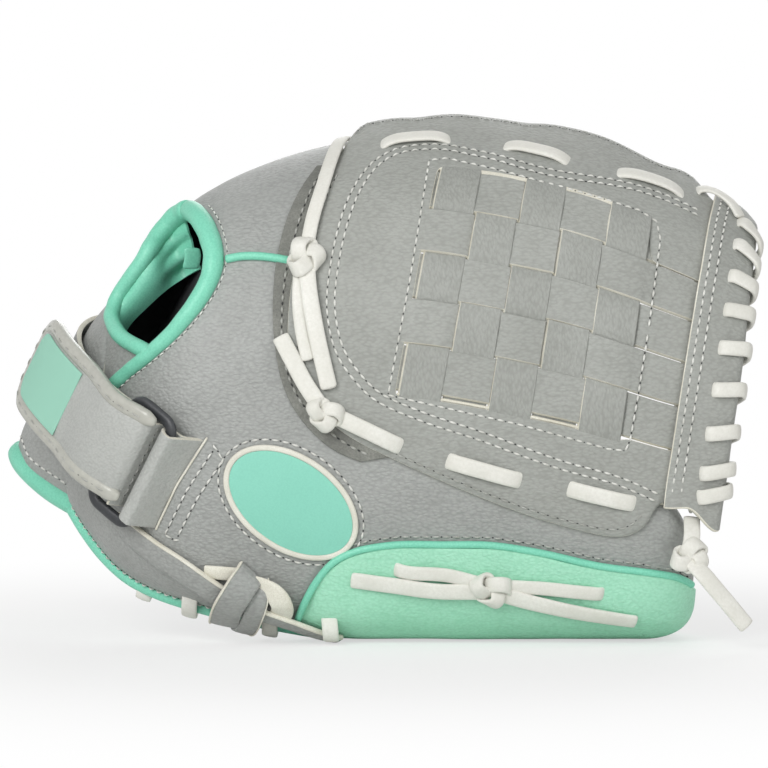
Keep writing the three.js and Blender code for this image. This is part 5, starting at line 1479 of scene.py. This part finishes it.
# Finger stalls: padded half tubes, closed at the tip, with two sewn rows each
def finger(i, u, v, inset=0.0):
    centre = INDEX_CENTRE + i * FINGER_PITCH
    tip = FINGER_TIPS[i] - inset
    x = lerp(KNUCKLE_X + GAP, tip, ease_out(u))
    a = v * math.pi
    share = nose_share(x, tip, FINGER_NOSE)
    s = centre + (FINGER_WIDTH / 2 - inset) * rounded(math.cos(a), FINGER_POWER) * share
    rise = abs(math.sin(a)) ** FINGER_POWER
    t = -FINGER_DEPTH + (FINGER_DEPTH - inset) * rise * (0.25 + 0.75 * share)
    return open_skin(x, s, -FINGER_DEPTH + 4 if share == 0 else t)


finger_rows = []
for i, name in enumerate(("index", "middle", "ring", "little")):
    stall = panel(f"{name}_finger_leather", turn_v(partial(finger, i)), 24, 22, 2.2)
    belongs(stall, "fingers", [f"{name}_finger_stall"])
    for v in (0.17, 0.83):
        line = [finger(i, k / 30, v, -0.1) for k in range(1, 28)]
        outside = [finger(i, k / 30, v, -1.1) for k in range(1, 28)]
        finger_rows.append((line, [(q - p).normalized() for p, q in zip(line, outside)]))
belongs(stitches("finger_sewing", finger_rows, GREY_THREAD), "fingers")


# Pocket side of the four fingers
def facing(i, u, v):
    tip = FINGER_TIPS[i] - 0.4
    x = lerp(KNUCKLE_X - 0.5, tip, ease_out(u))
    half = (FINGER_PITCH / 2 - 0.1) * nose_share(x, tip, FINGER_NOSE)
    puff = 1.6 * math.sin(v * math.pi) ** 0.7
    s = INDEX_CENTRE + i * FINGER_PITCH + half * (2 * v - 1)
    return open_skin(x, s, -PALM_DEPTH - 2.4 - puff)


facings = [panel("facing", turn_v(partial(facing, i)), 24, 12, 2.2) for i in range(4)]
belongs(joined("finger_facing_leather", facings), "fingers", ["finger_facing"])

# Lace through the fingertips
TIP_FIRST, TIP_LAST = INDEX_CENTRE - 10, INDEX_CENTRE + 3 * FINGER_PITCH + 11
tip_points = [(lerp(97, 92, k / 12), lerp(TIP_FIRST, TIP_LAST, k / 12), -FINGER_DEPTH * 0.55)
              for k in range(13)]
fingertip_lace = joined("fingertip_tie_lace", [laid(tip_points, 40, 6, 2, surface=open_skin)])
belongs(fingertip_lace, "fingers", ["fingertip_lace"])

# Oval patch with a satin-stitched border and a sewing ring
PATCH_X, PATCH_Z, PATCH_LONG, PATCH_SHORT, PATCH_TILT = -35, 55, 26, 16, -0.61


def oval(grow, a):
    x = (PATCH_LONG + grow) * math.cos(a)
    y = (PATCH_SHORT + grow) * math.sin(a)
    cos, sin = math.cos(PATCH_TILT), math.sin(PATCH_TILT)
    return PATCH_X + x * cos - y * sin, PATCH_Z + x * sin + y * cos


def patch_point(u, v):
    x, z = oval(0, 2 * math.pi * u)
    p = front(lerp(PATCH_X, x, v), lerp(PATCH_Z, z, v))
    return skin(p.x, p.y, 1.35 + 0.5 * (1 - v ** 4))


patch = panel("oval_patch_face", turn_u(patch_point), 48, 10, 1.0, PATCH, PATCH, cut=0)
belongs(patch, "hand", ["oval_patch"])
rim_path, rim_looks = on_skin([front(*oval(1.1, 2 * math.pi * i / 72)) for i in range(72)], 1.0)
rim = strand("oval_patch_rim", ribbon_stations(rim_path, rim_looks, True), lace_section(2.3, 1.5), RIM, True)
belongs(rim, "hand", ["oval_patch_border"])
ring_sew = [front(*oval(4.2, 2 * math.pi * i / 90)) for i in range(91)]
belongs(stitches("oval_patch_sewing", [sewn(ring_sew, 0.1, 0)]), "hand")

# Strap ring
RING_HALF, RING_CORNER = 23, 5
ring_path = []
for sl, sm, quarter in ((1, 1, 0), (-1, 1, 1), (-1, -1, 2), (1, -1, 3)):
    for i in range(7):
        a = (quarter + i / 6) * math.pi / 2
        l = sl * (RING_HALF - RING_CORNER) + RING_CORNER * math.cos(a)
        ring_path.append(ring_point(l, sm * (BAR_OFFSET - RING_CORNER) + RING_CORNER * math.sin(a), 0))
ring_stations = ribbon_stations(ring_path, [ring_k] * len(ring_path), True)
ring = strand("wrist_strap_ring", ring_stations, lace_section(4.8, 3.4), PLASTIC, True)
belongs(ring, "ring", ["strap_ring"])


# Strap fold round the ring's outer bar
def fold(u, v):
    a = math.pi / 2 + math.pi * v
    across = lerp(-0.5, 0.5, u) * STRAP_WIDTH
    return ring_point(across, BAR_OFFSET + FOLD_OUT * math.cos(a), FOLD_OUT * math.sin(a))


strap_fold = panel("strap_fold_leather", turn_u(fold), 12, 16, 1.9, STRAP_GREY)
belongs(strap_fold, "ring", ["strap_fold"])
KEEPER_OUT, KEEPER_LENGTH, KEEPER_SLIT = FOLD_IN + 1.6, 24, 6.8
KEEPER_TURN, KEEPER_UNDER = 0.4, 0.7


# Height of the back leather over the ring's plane, on a coarse grid and between its points
def skin_k(l, m):
    def is_inside(k):
        p = ring_point(l, m, k)
        return skin(p.x, s_at(p.x, p.z)).y <= p.y
    return solve(is_inside, -24.0, 6.0, 14)


GRID_SIDE, GRID_FIRST, GRID_STEP, GRID_LAST = 24, 4, 5, 3
GRID_L = (-GRID_SIDE, 0, GRID_SIDE)
GRID_D = [GRID_FIRST + GRID_STEP * j for j in range(GRID_LAST + 2)]
heights_k = [[skin_k(l, -BAR_OFFSET - d) for d in GRID_D] for l in GRID_L]


def leather_k(l, d):
    i = 0 if l < 0 else 1
    u = (l - GRID_L[i]) / GRID_SIDE
    j = min(max(int((d - GRID_FIRST) / GRID_STEP), 0), GRID_LAST)
    v = (d - GRID_D[j]) / GRID_STEP
    near, far = (lerp(heights_k[i][n], heights_k[i + 1][n], u) for n in (j, j + 1))
    return lerp(near, far, v)


# The keeper comes out of a slit in the back leather, goes round the ring's bar and back under the leather
def keeper(u, v):
    l = lerp(-0.5, 0.5, u) * (STRAP_WIDTH + 3)
    if v < KEEPER_TURN:
        d = lerp(KEEPER_SLIT + 5, 0, v / KEEPER_TURN)
        m = -BAR_OFFSET - d
        k = lerp(KEEPER_OUT, leather_k(l, KEEPER_SLIT) + 0.4, max(0.0, d - 2.4) / (KEEPER_SLIT - 2.4))
    elif v < KEEPER_UNDER:
        a = math.pi / 2 - (v - KEEPER_TURN) / (KEEPER_UNDER - KEEPER_TURN) * math.pi
        m, k = -BAR_OFFSET + KEEPER_OUT * math.cos(a), KEEPER_OUT * math.sin(a)
    else:
        d = lerp(0, KEEPER_LENGTH, (v - KEEPER_UNDER) / (1 - KEEPER_UNDER))
        m = -BAR_OFFSET - d
        k = min(-KEEPER_OUT, leather_k(l, d) - 2.6) if d > 4 else -KEEPER_OUT
    return ring_point(l, m, k)


keeper_leather = panel("ring_keeper_leather", keeper, 14, 34, 1.5, STRAP_GREY, cut=0.5)
belongs(keeper_leather, "hand", ["ring_keeper"])


def on_leather(l, d, lift):
    p = ring_point(l, -BAR_OFFSET - d, leather_k(l, d))
    return under_strap(skin(p.x, s_at(p.x, p.z), lift))


slit_path = [on_leather(lerp(-21, 22, i / 20), KEEPER_SLIT + 0.3, 0.35) for i in range(21)]
slit_stations = ribbon_stations(slit_path, [ring_k] * len(slit_path))
belongs(strand("ring_keeper_slit_edge", slit_stations, lace_section(0.9, 0.9), RAW), "hand")
ROW_A, ROW_B, ROW_HALF, ROW_TOP = KEEPER_SLIT + 4.4, KEEPER_SLIT + 9.0, 20, 17
keeper_row = [(lerp(-ROW_HALF, ROW_HALF, i / 12), ROW_A) for i in range(13)]
keeper_row += [(lerp(ROW_TOP, -ROW_HALF, i / 12), ROW_B) for i in range(13)] + [(-ROW_HALF, ROW_A)]
keeper_line = [on_leather(l, d, 0.2) for l, d in keeper_row]
belongs(stitches("ring_keeper_sewing", [(keeper_line, [ring_k] * len(keeper_line))]), "hand")
END_ROUND = 6


# Flat pieces of the wrist strap with a rounded far end: base, tapes and label
def band_panel(name, low, high, half, outer, thick, columns, rows, face, edge, surface=band):
    def point(u, v):
        a = lerp(low, high, u)
        end = END_ROUND - min(high - a, END_ROUND)
        taper = half - END_ROUND + math.sqrt(max(END_ROUND ** 2 - end ** 2, 0))
        return surface(a, (2 * v - 1) * taper, outer)
    return panel(name, point, columns, rows, thick, face, edge)


HALF_STRAP = STRAP_WIDTH / 2
CORE_HALF = FLAP_WIDTH / 2 - FLAP_BINDING - GAP
strap_base = band_panel("strap_base_leather", GAP, BASE_LENGTH, HALF_STRAP, -FOLD_IN, 2, 40, 12, GREY, RAW)
belongs(strap_base, "hand", ["strap_base"])
loop_tape = band_panel("strap_loop_tape", 9, FLAP_LENGTH + 4, HALF_STRAP - 4, -FOLD_IN + GAP + 1, 1, 26, 10,
                       TAPE, TAPE)
belongs(loop_tape, "hand", ["loop_tape"])
LIP, LIP_LENGTH = -13, 3.4
FLAP_BEND = (place(flap_band(-11, 0, FLAP_IN)), place(flap_band(2, 0, FLAP_IN)))


# Padded flap: it starts over the ring with a rolled lip and ends in a bound corner
def flap_face(u, v):
    a = lerp(LIP, FLAP_LENGTH - FLAP_BINDING + 1.5, u)
    q = 2 * v - 1
    lip = smooth(LIP + LIP_LENGTH - a, 0, LIP_LENGTH)
    return flap_band(a, q * (CORE_HALF + 1.8), FLAP_OUT + 0.9 * (1 - q ** 4) - 3.6 * lip * lip)


flap = panel("strap_flap_leather", flap_face, 40, 14, 3.4, STRAP_GREY, STRAP_GREY)
belongs(flap, "flap", ["strap_flap"], FLAP_BEND)
hook_tape = band_panel("strap_hook_tape", 12, FLAP_LENGTH - 10, CORE_HALF - 0.6, FLAP_IN - GAP, 1, 24, 8,
                       TAPE, TAPE, flap_band)
belongs(hook_tape, "flap", ["hook_tape"])
label = band_panel("strap_label_cloth", FLAP_LENGTH - 41, FLAP_LENGTH - 6.8, CORE_HALF + 0.7, FLAP_OUT + 1.25,
                   0.6, 18, 10, LABEL, LABEL, flap_band)
belongs(label, "flap", ["flap_label"])

# Binding round the flap, from one end of its lip to the other
mid = FLAP_WIDTH / 2 - FLAP_BINDING / 2
end_a = FLAP_LENGTH - FLAP_BINDING / 2
TURN, BINDING_LIFT, BINDING_STEPS = 9, FLAP_IN + 2.3, 132
side_stops = [LIP - 1, -8, -3, 2, 8, 18, 28, 38, 46, end_a - TURN]
corner = [(TURN * math.sin(t * math.pi / 8), TURN * math.cos(t * math.pi / 8)) for t in range(1, 4)]
flap_line = [(a, -mid) for a in side_stops]
flap_line += [(end_a - TURN + sin, -mid + TURN - cos) for sin, cos in corner]
flap_line += [(end_a, q) for q in (-mid + TURN, 0, mid - TURN)]
flap_line += [(end_a - TURN + cos, mid - TURN + sin) for sin, cos in corner]
flap_line += [(a, mid) for a in reversed(side_stops)]
flat_line = spline(level(flap_line), BINDING_STEPS)
path = [flap_band(p.x, p.y, BINDING_LIFT) for p in flat_line]
looks = [(flap_band(p.x, p.y, 8) - flap_band(p.x, p.y, 0)).normalized() for p in flat_line]
ends = [math.sqrt(min(1.0, 0.2 + 0.8 * min(i, BINDING_STEPS - i) / 3)) for i in range(BINDING_STEPS + 1)]
stations = [(p, across * r, up * r) for (p, across, up), r in zip(ribbon_stations(path, looks), ends)]
BINDING_SHAPE = ((-1, -0.9), (1, -0.9), (1.02, 0.1), (0.78, 0.78), (0.2, 1), (-0.5, 0.96), (-1, 0.7))
binding_section = [(a * FLAP_BINDING / 2, b * 2.7) for a, b in BINDING_SHAPE]
flap_binding = strand("strap_flap_binding", stations, binding_section, BINDING)
belongs(flap_binding, "flap", ["flap_binding"], FLAP_BEND)
on_binding = [flap_band(p.x, p.y * 0.985, BINDING_LIFT + 2.55) for p in flat_line[4:-4]]
flap_sewing = stitches("strap_flap_sewing", [(on_binding, looks[4:-4])], GREY_THREAD, 4.6, 2.6, 0.34)
belongs(flap_sewing, "flap", bend=FLAP_BEND)


# Strap leather that goes down between the flap's lip and the keeper, with a row of stitches
def tuck(u, v):
    return ring_point(lerp(-17.5, 20.5, u), lerp(-2.2, -5.2, v), lerp(6.4, -2.4, v))


belongs(panel("strap_tuck_leather", turn_u(tuck), 12, 8, 1.2, STRAP_GREY), "ring")
tuck_line = [tuck(lerp(0.03, 0.97, i / 16), 0.62) for i in range(17)]
tuck_looks = [(ring_k * 0.3 - ring_m).normalized()] * len(tuck_line)
belongs(stitches("strap_tuck_sewing", [(tuck_line, tuck_looks)], GREY_THREAD, 2.6, 1.6), "ring")
THONG_THICK = 1.9


# A leather thong through points (x, height, lift), with a pale cut edge of a given width on one side
def thong(points, steps, width, edge, face=GREY):
    stations, section = skin_ribbon([front(*p) for p in points], steps, width, THONG_THICK)
    out = [strand("thong", stations, section, face)]
    if edge:
        rim = [(p + across * (width / 2 - edge * 0.35), across, up) for p, across, up in stations]
        out.append(strand("edge", rim, lace_section(edge, THONG_THICK + 0.3), RAW))
    return out


# Pull strap: from under the keeper to a flat knot and a tail, with suede showing where it turns over
parts = thong([(-103, 46.6, -1.6), (-97, 42.6, 0.6), (-88, 36.8, 1.6), (-76, 29.4, 2.2), (-66, 23.2, 3.0),
               (-58, 18.5, 3.4)], 36, 10.0, 1.3)
parts += thong([(-55, 17.5, 3.2), (-46, 14.6, 4.4), (-32, 9.4, 4.0), (-16.5, 4.2, 3.4)], 30, 6.5, 1.9)
parts += thong([(-68, 28.6, 1.0), (-60, 28.4, 1.8), (-53.5, 28.0, 1.8)], 16, 5.6, 0, RAW)
parts += thong([(-53, 24.5, 1.8), (-46, 23.6, 3.2), (-40.5, 21.6, 5.0), (-38, 18.2, 5.4), (-38.5, 14.4, 3.6),
                (-41, 12, 1.6)], 30, 8.6, 0, RAW)
parts += thong([(-47.4, 26.4, 1.2), (-47.2, 21, 4.6), (-49.4, 14.6, 6.0), (-53.8, 9.2, 5.6),
                (-57.2, 6.2, 2.4)], 26, 8.0, 0.6)
parts += thong([(-58.4, 7.4, 1.2), (-60, 11.5, 5.2), (-58.6, 18, 7.0), (-54.4, 24.2, 6.8), (-51, 28, 4.2),
                (-50, 29, 1.4)], 34, 11.6, 0.9)
belongs(joined("pull_strap_thong", parts), "hand", ["pull_strap"])
